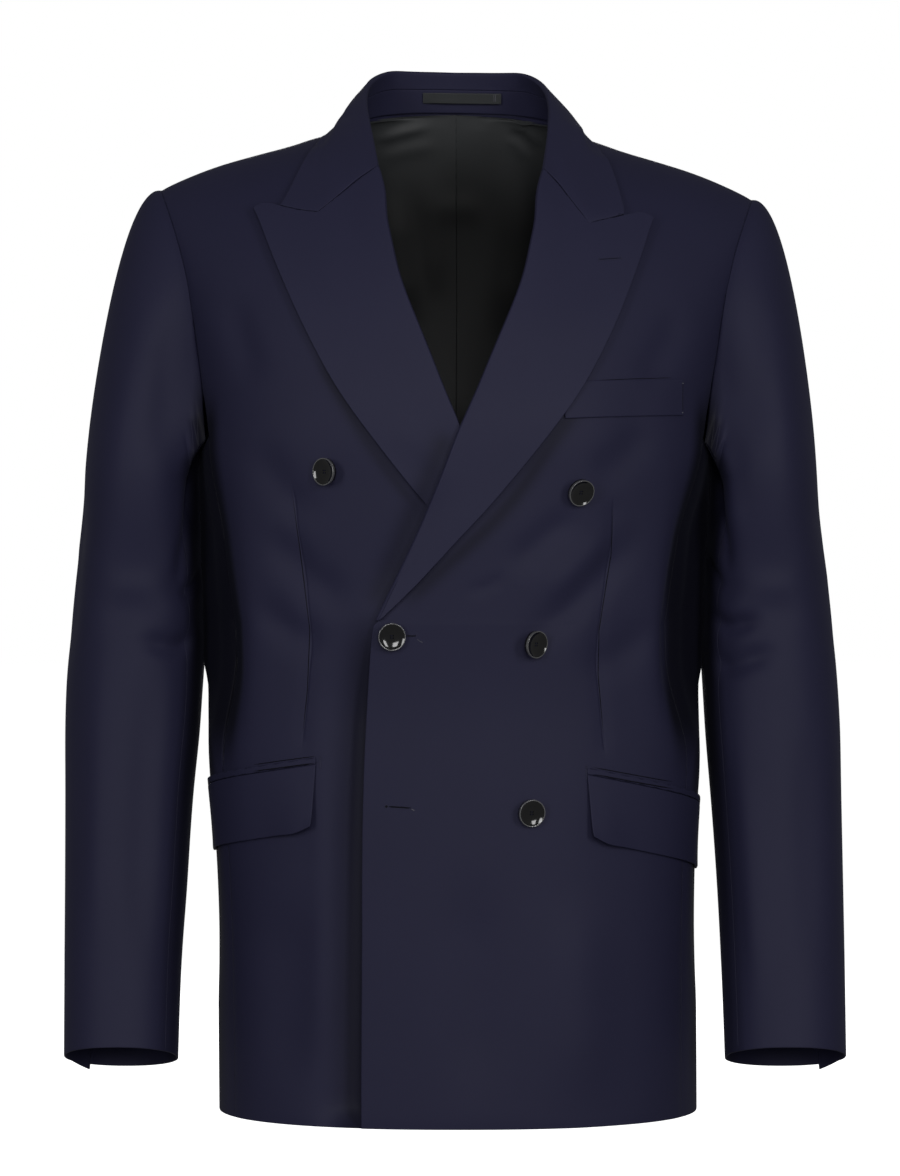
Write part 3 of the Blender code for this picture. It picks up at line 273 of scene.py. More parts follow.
def makeSatin(name):
    look = satinLook
    material, tree, shader = newMaterial(name, look["roughness"], {
        "Sheen Weight": look["sheen"],
        "Sheen Roughness": look["sheenRoughness"],
        "Specular IOR Level": look["specular"],
        "Anisotropic": look["anisotropic"],
    })
    solid = objectPlaces(tree)
    threads = wave(tree, clothPlaces(tree), bandScale / look["pitch"], 0.0, distortion=0.6, detail=1.0)
    cloud = noise(tree, solid, look["cloudScale"])
    colour = blendColours(tree, threads, look)
    colour = tone(tree, colour, spread(tree, cloud, *look["cloudShades"]))
    # painted light and shade: every satin piece, the hanger loop too, is lighter at the top and darker lower
    # down
    height = addNode(tree, "ShaderNodeSeparateXYZ")
    tree.links.new(solid, height.inputs["Vector"])
    fade = addNode(tree, "ShaderNodeMapRange", interpolation_type="SMOOTHSTEP")
    fade.inputs["From Min"].default_value, fade.inputs["From Max"].default_value = look["heights"]
    fade.inputs["To Min"].default_value, fade.inputs["To Max"].default_value = look["paintedShadeToLight"]
    tree.links.new(height.outputs["Z"], fade.inputs["Value"])
    colour = tone(tree, colour, fade.outputs["Result"])
    tree.links.new(colour, shader.inputs["Base Color"])
    tree.links.new(spread(tree, cloud, *look["roughnessSpread"]), shader.inputs["Roughness"])
    bump(tree, shader, threads, look["bump"], look["relief"])
    return material


buttonLook = {
    "face": {"dark": (0.0025, 0.0025, 0.0028), "light": (0.0055, 0.0055, 0.0060),
             "roughness": 0.10, "metal": 0.0, "coat": 0.5},
    # the rim's grey colour is a painted reflection of the bright studio on the black button
    "rim": {"dark": (0.160, 0.160, 0.165), "light": (0.260, 0.260, 0.265),
            "roughness": 0.24, "metal": 0.60, "coat": 0.7},
    "coatRoughness": 0.06,
    "specular": 0.60,
    "cloudScale": 260.0,
    "scuffScale": 2600.0,
    "scuffs": (-0.04, 0.08),
    "bump": 0.06,
    "relief": 0.00005,
}


def makeGloss(name, part):
    look = buttonLook
    facts = look[part]
    material, tree, shader = newMaterial(name, facts["roughness"], {
        "Coat Weight": facts["coat"],
        "Coat Roughness": look["coatRoughness"],
        "Metallic": facts["metal"],
        "Specular IOR Level": look["specular"],
    })
    solid = objectPlaces(tree)
    cloud = noise(tree, solid, look["cloudScale"])
    scuffs = noise(tree, solid, look["scuffScale"], detail=2.0, rough=0.6)
    low, high = (facts["roughness"] + change for change in look["scuffs"])
    tree.links.new(blendColours(tree, cloud, facts), shader.inputs["Base Color"])
    tree.links.new(spread(tree, scuffs, low, high), shader.inputs["Roughness"])
    bump(tree, shader, cloud, look["bump"], look["relief"])
    return material


threadLook = {
    # seam: near black, painted shadow in seam grooves, pocket openings and buttonhole slits and eyes
    "seam": (0.0035, 0.0034, 0.0070),
    "navy": (0.012, 0.012, 0.026),
    "lip": (0.036, 0.036, 0.068),
    "pale": (0.150, 0.150, 0.175),
    "shades": {"dark": 0.7, "light": 1.25},
    "strandScale": 5200.0,
    "roughness": 0.62,
    "specular": 0.12,
    "bump": 0.5,
    "relief": 0.00008,
}


def makeThread(kind):
    look = threadLook
    material, tree, shader = newMaterial(kind + "Thread", look["roughness"], {
        "Specular IOR Level": look["specular"],
    })
    strands = noise(tree, objectPlaces(tree), look["strandScale"], detail=2.0, rough=0.6)
    colours = {key: tuple(channel * shade for channel in look[kind]) for key, shade in look["shades"].items()}
    tree.links.new(blendColours(tree, strands, colours), shader.inputs["Base Color"])
    bump(tree, shader, strands, look["bump"], look["relief"])
    return material


wool = makeWool("navyWool", woolLook["body"])
facingWool = makeWool("navyWoolFacing", woolLook["facing"])
satin = makeSatin("greySatin")
gloss = makeGloss("blackButton", "face")
rimPaintedReflection = makeGloss("blackButtonRimPaintedReflection", "rim")
navyThread = makeThread("navy")
seamShadowThread = makeThread("seam")
lipThread = makeThread("lip")
paleThread = makeThread("pale")
print("materials ready")


# Cloth shells: each copies its solid, is smoothed through the same points, then creased

shellFacts = {
    "front_left": {"level": 3, "held": "hung", "on": ["back_left"], "lined": True},
    "front_right": {"level": 3, "held": "hung", "on": ["back_right"], "lined": True},
    "side_left": {"level": 3, "held": "hung", "on": ["front_left"], "lined": True},
    "side_right": {"level": 3, "held": "hung", "on": ["front_right"], "lined": True},
    "back_left": {"level": 3, "held": "hung", "on": ["front_left"]},
    "back_right": {"level": 3, "held": "hung", "on": ["front_right"]},
    "sleeve_top_left": {"level": 3, "held": "hung", "on": ["front_left"], "lined": True},
    "sleeve_top_right": {"level": 3, "held": "hung", "on": ["front_right"], "lined": True},
    "sleeve_under_left": {"level": 3, "held": "hung", "on": ["side_left"], "lined": True},
    "sleeve_under_right": {"level": 3, "held": "hung", "on": ["side_right"], "lined": True},
    "lapel_left": {"level": 3, "held": "folded", "on": ["front_left"]},
    "lapel_right": {"level": 3, "held": "folded", "on": ["front_right"]},
    "collar_fall": {"level": 3, "held": "folded", "on": ["back_left", "back_right"]},
    "collar_stand": {"level": 2, "held": "hung", "on": ["back_left", "back_right"]},
    "pocket_flap_left": {"level": 3, "held": "hung", "on": ["front_left"]},
    "pocket_flap_right": {"level": 3, "held": "hung", "on": ["front_right"]},
    "pocket_jet_left": {"level": 2, "held": "laid", "on": ["front_left"]},
    "pocket_jet_right": {"level": 2, "held": "laid", "on": ["front_right"]},
    "breast_welt": {"level": 3, "held": "laid", "on": ["front_left"]},
    "lining_back_left": {"level": 3, "held": "hung", "on": ["back_left"]},
    "lining_back_right": {"level": 3, "held": "hung", "on": ["back_right"]},
    "hanger_loop": {"level": 2, "held": "stretched", "on": ["collar_stand"]},
}
facingNames = ("lapel_left", "lapel_right", "collar_fall", "collar_stand")
satinNames = ("lining_back_left", "lining_back_right", "hanger_loop")
sides = ("left", "right")
# Doubles closer than merge become one point, and edges sharper than sharp stay edges of the cloth
cageLook = {"merge": 2e-5, "sharp": math.radians(48), "flat": math.radians(46), "square": math.radians(100)}


def splitSkins(bm):
    # faces parted by the sharp edges of the wall, the largest groups first
    seen = set()
    groups = []
    for start in bm.faces:
        if start.index in seen:
            continue
        group = [start]
        seen.add(start.index)
        for face in group:
            for edge in face.edges:
                if not edge.smooth:
                    continue
                for other in edge.link_faces:
                    if other.index not in seen:
                        seen.add(other.index)
                        group.append(other)
        groups.append(group)
    groups.sort(key=lambda group: -sum(face.calc_area() for face in group))
    return groups


def prepareShell(name):
    facts = shellFacts[name]
    mesh = nodes[name].data.copy()
    mesh.materials.clear()
    shell = bpy.data.objects.new(name + "_cloth", mesh)
    bpy.context.scene.collection.objects.link(shell)
    bm = bmesh.new()
    bm.from_mesh(mesh)
    bmesh.ops.remove_doubles(bm, verts=bm.verts, dist=cageLook["merge"])
    bmesh.ops.join_triangles(bm, faces=bm.faces, angle_face_threshold=cageLook["flat"],
                             angle_shape_threshold=cageLook["square"])
    for face in bm.faces:
        face.smooth = True
    for edge in bm.edges:
        edge.smooth = len(edge.link_faces) == 2 and edge.calc_face_angle(0.0) < cageLook["sharp"]
    crease = bm.edges.layers.float.new("crease_edge")
    skin = bm.faces.layers.int.new("skin")
    bm.faces.index_update()
    for edge in bm.edges:
        edge[crease] = 0.0 if edge.smooth else 1.0
        edge.seam = not edge.smooth
    for i, group in enumerate(splitSkins(bm)):
        for face in group:
            face[skin] = min(i, 2)
    bm.to_mesh(mesh)
    bm.free()
    return shell


def tightBox(flat):
    # width and length of the smallest rectangle that the cut cloth fits
    best = None
    for degrees in range(0, 90, 3):
        cos, sin = math.cos(math.radians(degrees)), math.sin(math.radians(degrees))
        turned = flat @ np.array([[cos, -sin], [sin, cos]])
        sides = sorted(np.ptp(turned, axis=0))
        if best is None or sides[0] * sides[1] < best[0] * best[1]:
            best = (sides[0], sides[1])
    return best


def unwrapShell(shell):
    # cloth map in metres, with the grain running up each piece; gives the outer skin's width, length and area
    mesh = shell.data
    while mesh.uv_layers:
        mesh.uv_layers.remove(mesh.uv_layers[0])
    mesh.uv_layers.new(name="clothMap")
    only(shell)
    bpy.ops.object.mode_set(mode="EDIT")
    bpy.ops.mesh.select_all(action="SELECT")
    bpy.ops.uv.unwrap(method="ANGLE_BASED", margin=0.0)
    bpy.ops.object.mode_set(mode="OBJECT")
    bm = bmesh.new()
    bm.from_mesh(mesh)
    bm.faces.index_update()
    uvLayer = bm.loops.layers.uv.active
    sizes = None
    for group in splitSkins(bm):
        loops = [loop for face in group for loop in face.loops]
        flat = np.array([loop[uvLayer].uv for loop in loops], dtype=float)
        height = np.array([loop.vert.co.z for loop in loops])
        area = sum(face.calc_area() for face in group)
        flatArea = 0.0
        for face in group:
            corners = [loop[uvLayer].uv for loop in face.loops]
            for a, b in zip(corners[1:], corners[2:]):
                flatArea += abs((a - corners[0]).cross(b - corners[0])) / 2
        scale = math.sqrt(area / max(flatArea, tiny))
        design = np.c_[flat, np.ones(len(flat))]
        slope = np.linalg.lstsq(design, height, rcond=None)[0]
        turn = math.atan2(slope[0], slope[1])
        cos, sin = math.cos(turn), math.sin(turn)
        middle = flat.mean(axis=0)
        flat = (flat - middle) @ np.array([[cos, sin], [-sin, cos]]) * scale
        for loop, place in zip(loops, flat):
            loop[uvLayer].uv = place
        if sizes is None:
            sizes = tightBox(flat) + (area,)
    bm.to_mesh(mesh)
    bm.free()
    return sizes


def throughPoints(shell, rounds=4):
    # moves the cage until the smooth surface passes through the solid's own points
    mesh = shell.data
    target = readPoints(mesh)
    cage = target.copy()
    modifier = shell.modifiers.new("smooth", "SUBSURF")
    modifier.levels = 1
    modifier.render_levels = 1
    for _ in range(rounds):
        graph = bpy.context.evaluated_depsgraph_get()
        graph.update()
        held = shell.evaluated_get(graph).to_mesh()
        reached = readPoints(held)[:len(target)]
        shell.evaluated_get(graph).to_mesh_clear()
        cage += target - reached
        writePoints(mesh, cage)
    return modifier


def refine(shell, level):
    modifier = throughPoints(shell)
    modifier.levels = level
    modifier.render_levels = level
    applyModifiers(shell)


shells = {}
for name, facts in shellFacts.items():
    shell = prepareShell(name)
    unwrapShell(shell)
    refine(shell, 1 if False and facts["level"] > 2 else facts["level"])
    shells[name] = shell
print("cloth shells smoothed:", len(shells))


# The directions in which the cloth stands out from the body and from each sleeve

bodyForm = {"half": 0.187, "front": 0.122, "back": 0.108, "middle": 0.005, "power": 1.5,
            "rise": 1.1, "shoulder": -0.20, "fade": 0.17}
sleeveForm = {"half": 0.047, "deep": 0.060, "radius": 0.054, "rise": 1.0, "shoulder": -0.19, "fade": 0.12}
# The middle line of each sleeve, from the cuff up
sleeveLine = {
    "z": (-0.692, -0.56, -0.45, -0.365, -0.27, -0.12),
    "right": (-0.2498, -0.2478, -0.2437, -0.2394, -0.2376, -0.215),
    "left": (0.2431, 0.2432, 0.2416, 0.2383, 0.2348, 0.213),
    "y": (-0.0655, -0.0290, -0.0030, 0.0090, 0.0060, 0.0030),
}


def power(value, exponent):
    return np.sign(value) * np.abs(value) ** exponent


def turnUp(across, deep, z, form):
    # unit directions, level low down and turned up towards the shoulder
    out = np.c_[across, deep, np.zeros(len(z))]
    out /= np.linalg.norm(out, axis=1)[:, None] + tiny
    out[:, 2] = form["rise"] * smooth((z - form["shoulder"]) / form["fade"])
    return out / np.linalg.norm(out, axis=1)[:, None]


def bodyOut(points):
    form = bodyForm
    x, y, z = points.T
    half = form["half"]
    y = y - form["middle"]
    deep = np.where(y < 0, form["front"], form["back"])
    return turnUp(power(x / half, form["power"]) / half, power(y / deep, form["power"]) / deep, z, form)


def fromSleeveLine(points, arm):
    x, y, z = points.T
    keys = sleeveLine["z"]
    return x - np.interp(z, keys, sleeveLine[arm]), y - np.interp(z, keys, sleeveLine["y"])


def sleeveOut(points, arm):
    across, deep = fromSleeveLine(points, arm)
    return turnUp(across / sleeveForm["half"] ** 2, deep / sleeveForm["deep"] ** 2, points[:, 2], sleeveForm)


def clothOut(points, name):
    return sleeveOut(points, name.split("_")[-1]) if name.startswith("sleeve") else bodyOut(points)


def fold(path, width, depth, start=0.35, end=0.35):
    # start and end are the shares of the path over which the fold comes and goes
    return {"path": path, "width": width, "depth": depth, "start": start, "end": end}


def curveThrough(path, steps=5):
    # smooth line through a few given points
    path = [np.array(point, dtype=float) for point in path]
    path = [2 * path[0] - path[1]] + path + [2 * path[-1] - path[-2]]
    line = []
    for a, b, c, d in zip(path, path[1:], path[2:], path[3:]):
        for i in range(steps):
            t = i / steps
            line.append(0.5 * (2 * b + (c - a) * t + (2 * a - 5 * b + 4 * c - d) * t * t
                               + (3 * b - a - 3 * c + d) * t ** 3))
    line.append(path[-2])
    return np.array(line)


def creaseDepth(across, up, rows, widths=3.2):
    # sum of soft troughs and ridges, each felt out to some widths from its line
    total = np.zeros(len(across))
    for row in rows:
        line = curveThrough(row["path"])
        reach = widths * row["width"]
        near = np.flatnonzero((across > line[:, 0].min() - reach) & (across < line[:, 0].max() + reach)
                              & (up > line[:, 1].min() - reach) & (up < line[:, 1].max() + reach))
        if not len(near):
            continue
        spots = np.c_[across[near], up[near]]
        best = np.full(len(near), np.inf)
        along = np.zeros(len(near))
        walked = 0.0
        for start, step in zip(line, np.diff(line, axis=0)):
            length = np.linalg.norm(step)
            share = np.clip(((spots - start) @ step) / length ** 2, 0, 1)
            gap = spots - start - share[:, None] * step
            far = np.hypot(gap[:, 0], gap[:, 1])
            closer = far < best
            best[closer] = far[closer]
            along[closer] = walked + share[closer] * length
            walked += length
        share = along / walked
        fade = smooth(share / row["start"]) * smooth((1 - share) / row["end"])
        total[near] += row["depth"] * fade * np.exp(-(best / row["width"]) ** 2)
    return total


# Body folds in the front plane, as places across and up: a depth above 0 is a trough
frontFolds = (
    fold([(0.036, -0.336), (0.062, -0.310), (0.094, -0.286)], 0.0110, 0.0032),
    fold([(0.040, -0.384), (0.074, -0.366), (0.106, -0.334), (0.138, -0.296)], 0.0120, 0.0042),
    fold([(0.056, -0.350), (0.084, -0.334), (0.116, -0.302)], 0.0100, -0.0018),
    fold([(0.004, -0.346), (0.020, -0.344), (0.039, -0.335)], 0.0040, 0.0012),
    fold([(0.092, -0.268), (0.118, -0.252), (0.148, -0.222)], 0.0130, 0.0026),
    fold([(0.132, -0.200), (0.152, -0.172), (0.168, -0.130)], 0.0130, 0.0026),
    fold([(0.080, -0.402), (0.116, -0.396), (0.154, -0.366)], 0.0130, 0.0028),
    fold([(0.010, -0.540), (0.014, -0.640), (0.012, -0.730)], 0.0220, 0.0034),
    fold([(0.085, -0.560), (0.090, -0.650), (0.088, -0.735)], 0.0240, -0.0036),
    fold([(-0.008, -0.258), (-0.034, -0.310), (-0.064, -0.368)], 0.0130, 0.0038),
    fold([(-0.070, -0.358), (-0.105, -0.338), (-0.144, -0.296)], 0.0130, 0.0036),
    fold([(-0.086, -0.386), (-0.120, -0.378), (-0.152, -0.346)], 0.0120, 0.0028),
    fold([(-0.094, -0.300), (-0.128, -0.270), (-0.152, -0.232)], 0.0140, 0.0028),
    fold([(-0.144, -0.200), (-0.158, -0.162), (-0.170, -0.120)], 0.0120, 0.0026),
    fold([(-0.120, -0.560), (-0.124, -0.650), (-0.122, -0.735)], 0.0220, 0.0040),
)
# Folds of the under front alone, which falls back beside the edge of the over front
underFolds = (
    fold([(-0.061, -0.365), (-0.0680, -0.420), (-0.0740, -0.560), (-0.0770, -0.732)],
         0.0180, 0.0125, 0.22, 0.01),
    fold([(-0.099, -0.410), (-0.097, -0.480), (-0.096, -0.600), (-0.098, -0.730)], 0.0110, -0.0022),
)
backFolds = (
    fold([(-0.020, -0.040), (0.0, -0.046), (0.024, -0.041)], 0.0100, 0.0008),
    fold([(0.095, -0.130), (0.118, -0.170), (0.135, -0.230)], 0.0130, 0.0048),
    fold([(-0.098, -0.126), (-0.122, -0.172), (-0.136, -0.226)], 0.0120, 0.0045),
    fold([(0.110, -0.250), (0.070, -0.290), (0.030, -0.305)], 0.0120, 0.0035),
    fold([(-0.105, -0.262), (-0.066, -0.296), (-0.024, -0.312)], 0.0110, 0.0035),
    fold([(0.125, -0.345), (0.080, -0.352), (0.030, -0.345)], 0.0100, 0.0042),
    fold([(-0.130, -0.338), (-0.086, -0.350), (-0.040, -0.356)], 0.0100, 0.0042),
    fold([(0.110, -0.392), (0.070, -0.402), (0.020, -0.396)], 0.0110, 0.0032),
    fold([(-0.112, -0.400), (-0.074, -0.410), (-0.030, -0.404)], 0.0090, 0.0029),
    fold([(0.062, -0.480), (0.068, -0.580), (0.066, -0.720)], 0.0220, 0.0042),
    fold([(-0.066, -0.480), (-0.070, -0.590), (-0.072, -0.720)], 0.0200, 0.0038),
    fold([(0.118, -0.500), (0.122, -0.600), (0.120, -0.720)], 0.0170, -0.0026),
    fold([(-0.114, -0.500), (-0.120, -0.600), (-0.118, -0.720)], 0.0180, -0.0026),
)
sideFolds = (
    fold([(0.018, -0.338), (0.044, -0.334), (0.070, -0.318)], 0.0090, 0.0034),
    fold([(0.020, -0.384), (0.048, -0.386), (0.078, -0.372)], 0.0110, 0.0040),
    fold([(0.003, -0.232), (0.003, -0.310), (0.003, -0.420)], 0.0170, -0.0024, 0.1, 0.12),
    fold([(0.003, -0.340), (0.003, -0.375), (0.003, -0.418)], 0.0150, -0.0010),
    fold([(-0.020, -0.480), (-0.016, -0.560), (-0.018, -0.660)], 0.0170, 0.0029),
    fold([(0.040, -0.480), (0.046, -0.580), (0.044, -0.700)], 0.0180, -0.0026),
)
# Sleeve folds: places are metres round the sleeve from its front, outwards first, and up
armFolds = {
    "left": (
        fold([(-0.040, -0.175), (-0.043, -0.215), (-0.047, -0.260), (-0.056, -0.320)], 0.0090, 0.0070),
        fold([(-0.052, -0.245), (-0.040, -0.290), (-0.030, -0.338)], 0.0065, 0.0048),
        fold([(-0.070, -0.318), (-0.052, -0.332), (-0.036, -0.345)], 0.0055, 0.0042),
        fold([(-0.060, -0.360), (-0.035, -0.372), (-0.005, -0.366)], 0.0070, 0.0048),
        fold([(-0.062, -0.398), (-0.034, -0.402), (0.004, -0.388)], 0.0080, 0.0042),
        fold([(-0.030, -0.220), (-0.026, -0.270), (-0.022, -0.320)], 0.0080, -0.0032),
        fold([(0.010, -0.110), (0.004, -0.180), (-0.004, -0.250)], 0.0120, 0.0029),
        fold([(0.020, -0.420), (0.018, -0.520), (0.020, -0.640)], 0.0160, 0.0026),
        fold([(-0.030, -0.440), (-0.026, -0.540), (-0.024, -0.660)], 0.0120, -0.0026),
        fold([(0.085, -0.300), (0.095, -0.340), (0.110, -0.370)], 0.0110, 0.0042),
        fold([(0.090, -0.380), (0.110, -0.400), (0.135, -0.410)], 0.0110, 0.0038),
        fold([(0.120, -0.150), (0.128, -0.210), (0.132, -0.280)], 0.0120, 0.0038),
        fold([(0.105, -0.500), (0.110, -0.560), (0.108, -0.640)], 0.0130, 0.0029),
    ),
    "right": (
        fold([(-0.040, -0.175), (-0.043, -0.215), (-0.047, -0.260), (-0.054, -0.320)], 0.0090, 0.0070),
        fold([(-0.050, -0.255), (-0.040, -0.300), (-0.028, -0.346)], 0.0070, 0.0042),
        fold([(-0.066, -0.330), (-0.048, -0.344), (-0.030, -0.352)], 0.0060, 0.0035),
        fold([(-0.060, -0.378), (-0.030, -0.388), (0.002, -0.380)], 0.0080, 0.0038),
        fold([(0.000, -0.120), (-0.006, -0.190), (-0.012, -0.260)], 0.0110, 0.0026),
        fold([(-0.014, -0.380), (-0.014, -0.500), (-0.018, -0.640)], 0.0130, 0.0032),
        fold([(0.016, -0.360), (0.018, -0.480), (0.016, -0.620)], 0.0140, -0.0026),
        fold([(0.060, -0.250), (0.058, -0.330), (0.060, -0.420)], 0.0160, 0.0022),
        fold([(0.088, -0.310), (0.100, -0.345), (0.116, -0.372)], 0.0120, 0.0042),
        fold([(0.094, -0.395), (0.114, -0.412), (0.138, -0.420)], 0.0100, 0.0035),
        fold([(0.122, -0.160), (0.130, -0.220), (0.134, -0.290)], 0.0120, 0.0035),
    ),
}
liningFolds = (
    fold([(-0.070, 0.0035), (-0.046, 0.0110), (-0.018, 0.0190)], 0.0045, 0.0030),
    fold([(-0.068, -0.0120), (-0.044, -0.0030), (-0.010, 0.0040)], 0.0060, 0.0016),
    fold([(0.0440, 0.0160), (0.0505, 0.0152), (0.0560, 0.0180)], 0.0034, 0.0034),
    fold([(0.0500, 0.0140), (0.0600, 0.0080), (0.0660, -0.0020)], 0.0036, 0.0028),
    fold([(0.0400, 0.0080), (0.0500, 0.0000), (0.0560, -0.0120)], 0.0042, 0.0016),
    fold([(0.0249, 0.0260), (0.0255, 0.0180), (0.0240, 0.0080)], 0.0022, 0.0014),
    fold([(-0.052, -0.030), (-0.044, -0.080), (-0.036, -0.140)], 0.0110, 0.0022),
    fold([(0.050, -0.020), (0.044, -0.080), (0.034, -0.150)], 0.0110, 0.0018),
    fold([(-0.0200, -0.010), (-0.0180, -0.060), (-0.0150, -0.120)], 0.0090, 0.0012),
)
# Seams of the front darts, which open into a soft pucker at each side
darts = {
    "right": [(-0.1208, -0.2684), (-0.1144, -0.3155), (-0.1072, -0.3746), (-0.1090, -0.4184),
              (-0.1133, -0.4590)],
    "left": [(0.1148, -0.2772), (0.1133, -0.3199), (0.1045, -0.3746), (0.1039, -0.4075),
             (0.1089, -0.4644)],
}
dartLook = {
    "reach": 0.016,
    "lines": (-0.0034, -0.0014, -0.0005, 0.0, 0.0005, 0.0014, 0.0034),
    "groove": 0.00075,
    "width": 0.0006,
    "pucker": 0.0009,
    "puckerWidth": 0.0060,
    "start": 0.06,
    "end": 0.02,
}
# The cloth turns back sharply at each side of the waist, where the sleeve hangs in front of it
sideTuck = {
    "heights": (-0.236, -0.310, -0.395, -0.470),
    "back": (-0.092, -0.056, -0.030, 0.006),
    "depth": {"left": 0.0120, "right": 0.0085},
    "across": 0.130,
    "fade": 0.03,
}
# How far a face looks to the front, the back or the side before that side's folds begin to show
foldFade = {"front": 0.05, "side": 0.45, "over": 0.35}
waistBand = {"low": -0.405, "high": -0.335, "fade": 0.018, "rounds": 14}


def cutDart(shell, path):
    # lays mesh edges along a dart so that its seam can sink between them
    bm = bmesh.new()
    bm.from_mesh(shell.data)
    line = curveThrough(path, 3)
    for start, end in zip(line, line[1:]):
        low, high = min(start[1], end[1]), max(start[1], end[1])
        first = Vector((start[0], 0, start[1]))
        along = Vector((end[0] - start[0], 0, end[1] - start[1])).normalized()
        across = Vector((along.z, 0, -along.x))
        for shift in dartLook["lines"]:
            near = set()
            for face in bm.faces:
                centre = face.calc_center_median()
                if centre.y > 0 or not low <= centre.z < high:
                    continue
                if abs((centre - first).dot(across)) < dartLook["reach"]:
                    near.update([face, *face.edges, *face.verts])
            spot = first + across * shift
            bmesh.ops.bisect_plane(bm, geom=list(near), plane_co=spot, plane_no=across, dist=1e-6)
    bm.to_mesh(shell.data)
    bm.free()
    shell.data.update()


def bodyShift(points):
    out = bodyOut(points)
    x, y, z = points.T
    over = foldFade["over"]
    depth = creaseDepth(x, z, frontFolds) * smooth((-out[:, 1] - foldFade["front"]) / over)
    depth += creaseDepth(x, z, backFolds) * smooth((out[:, 1] - foldFade["front"]) / over)
    depth += creaseDepth(y, z, sideFolds) * smooth((np.abs(out[:, 0]) - foldFade["side"]) / over)
    return -out * depth[:, None]


def frontShift(points, rows):
    # folds of the front half alone
    out = bodyOut(points)
    depth = creaseDepth(points[:, 0], points[:, 2], rows) * (out[:, 1] < 0)
    return -out * depth[:, None]


def dartRows(side):
    ends = (dartLook["start"], dartLook["end"])
    return (fold(darts[side], dartLook["width"], dartLook["groove"], *ends),
            fold(darts[side], dartLook["puckerWidth"], dartLook["pucker"], *ends))


def tuckShift(points, side):
    x, y, z = points.T
    high, full, low, foot = sideTuck["heights"]
    near, deep, rear, last = sideTuck["back"]
    share = smooth((high - z) / (high - full)) * smooth((z - foot) / (low - foot))
    share = share * smooth((y - near) / (deep - near)) * smooth((last - y) / (last - rear))
    share = share * smooth((np.abs(x) - sideTuck["across"]) / sideTuck["fade"])
    shift = np.zeros_like(points)
    shift[:, 0] = -np.sign(x) * share * sideTuck["depth"][side]
    return shift


def sleeveShift(points, arm):
    across, deep = fromSleeveLine(points, arm)
    sign = 1 if arm == "left" else -1
    around = np.arctan2(sign * across, -deep) * sleeveForm["radius"]
    return -sleeveOut(points, arm) * creaseDepth(around, points[:, 2], armFolds[arm])[:, None]


def liningShift(points):
    return -bodyOut(points) * creaseDepth(points[:, 0], points[:, 2], liningFolds)[:, None]


def easeShell(shell, weight, rounds, step=0.5, least=0.001):
    # evens out a surface where weight is above 0, and the cloth's edges along themselves
    bm = bmesh.new()
    bm.from_mesh(shell.data)
    rows = []
    for vert in bm.verts:
        share = weight(vert.co)
        if share <= least:
            continue
        ridge = [edge for edge in vert.link_edges if not edge.smooth]
        if len(ridge) in (0, 2):
            rows.append((vert, share, [edge.other_vert(vert) for edge in (ridge or vert.link_edges)]))
    for _ in range(rounds):
        places = [sum((other.co for other in others), Vector()) / len(others) for vert, share, others in rows]
        for (vert, share, others), place in zip(rows, places):
            vert.co = vert.co.lerp(place, step * share)
    bm.to_mesh(shell.data)
    bm.free()
    shell.data.update()


def waistWeight(place):
    inside = min(place.z - waistBand["low"], waistBand["high"] - place.z)
    return float(smooth(inside / waistBand["fade"]))


def shellShift(points, name):
    kind, side = name.split("_")[0], name.split("_")[-1]
    if kind == "sleeve":
        return sleeveShift(points, side)
    if kind in ("collar", "hanger"):
        return np.zeros_like(points)
    shift = bodyShift(points)
    if kind in ("front", "side"):
        shift += tuckShift(points, side)
    if name == "front_right":
        shift += frontShift(points, underFolds)
    if kind == "front":
        shift += frontShift(points, dartRows(side))
    if kind == "lining":
        shift += liningShift(points)
    return shift


for name, shell in shells.items():
    if name.startswith(("front", "side", "back")):
        easeShell(shell, waistWeight, waistBand["rounds"])
for side in sides:
    cutDart(shells["front_" + side], darts[side])
for name, shell in shells.items():
    points = readPoints(shell.data)
    writePoints(shell.data, points + shellShift(points, name))
print("creases and darts laid")


# Seams sink a little, cloth edges are rounded, and each shell is marked for its painted shade and its lining

edgeLook = {
    "strip": 0.0007,
    "lapelStrip": 0.0004,
    "rounding": 0.00008,
    "seamReach": 0.0035,
    "seamDepth": 0.00035,
    "meets": 0.0009,
    "overlap": 0.00034,
    "armholeOverlap": 0.00016,
    "facingOverlap": -0.00002,
}
fallLook = {"clear": 0.0007, "reach": 0.009, "spread": 0.007, "top": 0.010, "out": 0.070, "front": -0.030}
armCorner = {"place": (0.188, -0.050, -0.236), "reach": 0.040, "rounds": 16}
# The lining ends above each hem, and the seam allowance round the armhole is left in wool
liningEnds = {"front": -0.705, "side": -0.705, "sleeve": -0.660, "armhole": -0.290, "across": 0.150}
seamNames = [name for name in shells if name.startswith(("front", "side", "back", "sleeve"))]
sewnNames = seamNames + list(facingNames) + ["lining_back_left", "lining_back_right"]


def sharpEdges(mesh):
    sharp = np.empty(len(mesh.edges), dtype=bool)
    mesh.attributes["sharp_edge"].data.foreach_get("value", sharp)
    ends = np.empty(len(mesh.edges) * 2, dtype=int)
    mesh.edges.foreach_get("vertices", ends)
    return ends.reshape(-1, 2)[sharp]


def sharpPoints(mesh, steps=8):
    # closely spaced places along the sharp edges
    points = readPoints(mesh)
    starts, stops = sharpEdges(mesh).T
    shares = np.arange(steps)[:, None, None] / steps
    return (points[starts] * (1 - shares) + points[stops] * shares).reshape(-1, 3)


def treeOf(points):
    tree = KDTree(len(points))
    for i, point in enumerate(points):
        tree.insert(point, i)
    tree.balance()
    return tree


def skinTree(names):
    corners = []
    faces = []
    for name in names:
        mesh = shells[name].data
        first = len(corners)
        corners.extend(map(tuple, readPoints(mesh)))
        faces.extend(tuple(first + i for i in polygon.vertices) for polygon in mesh.polygons)
    return BVHTree.FromPolygons(corners, faces)


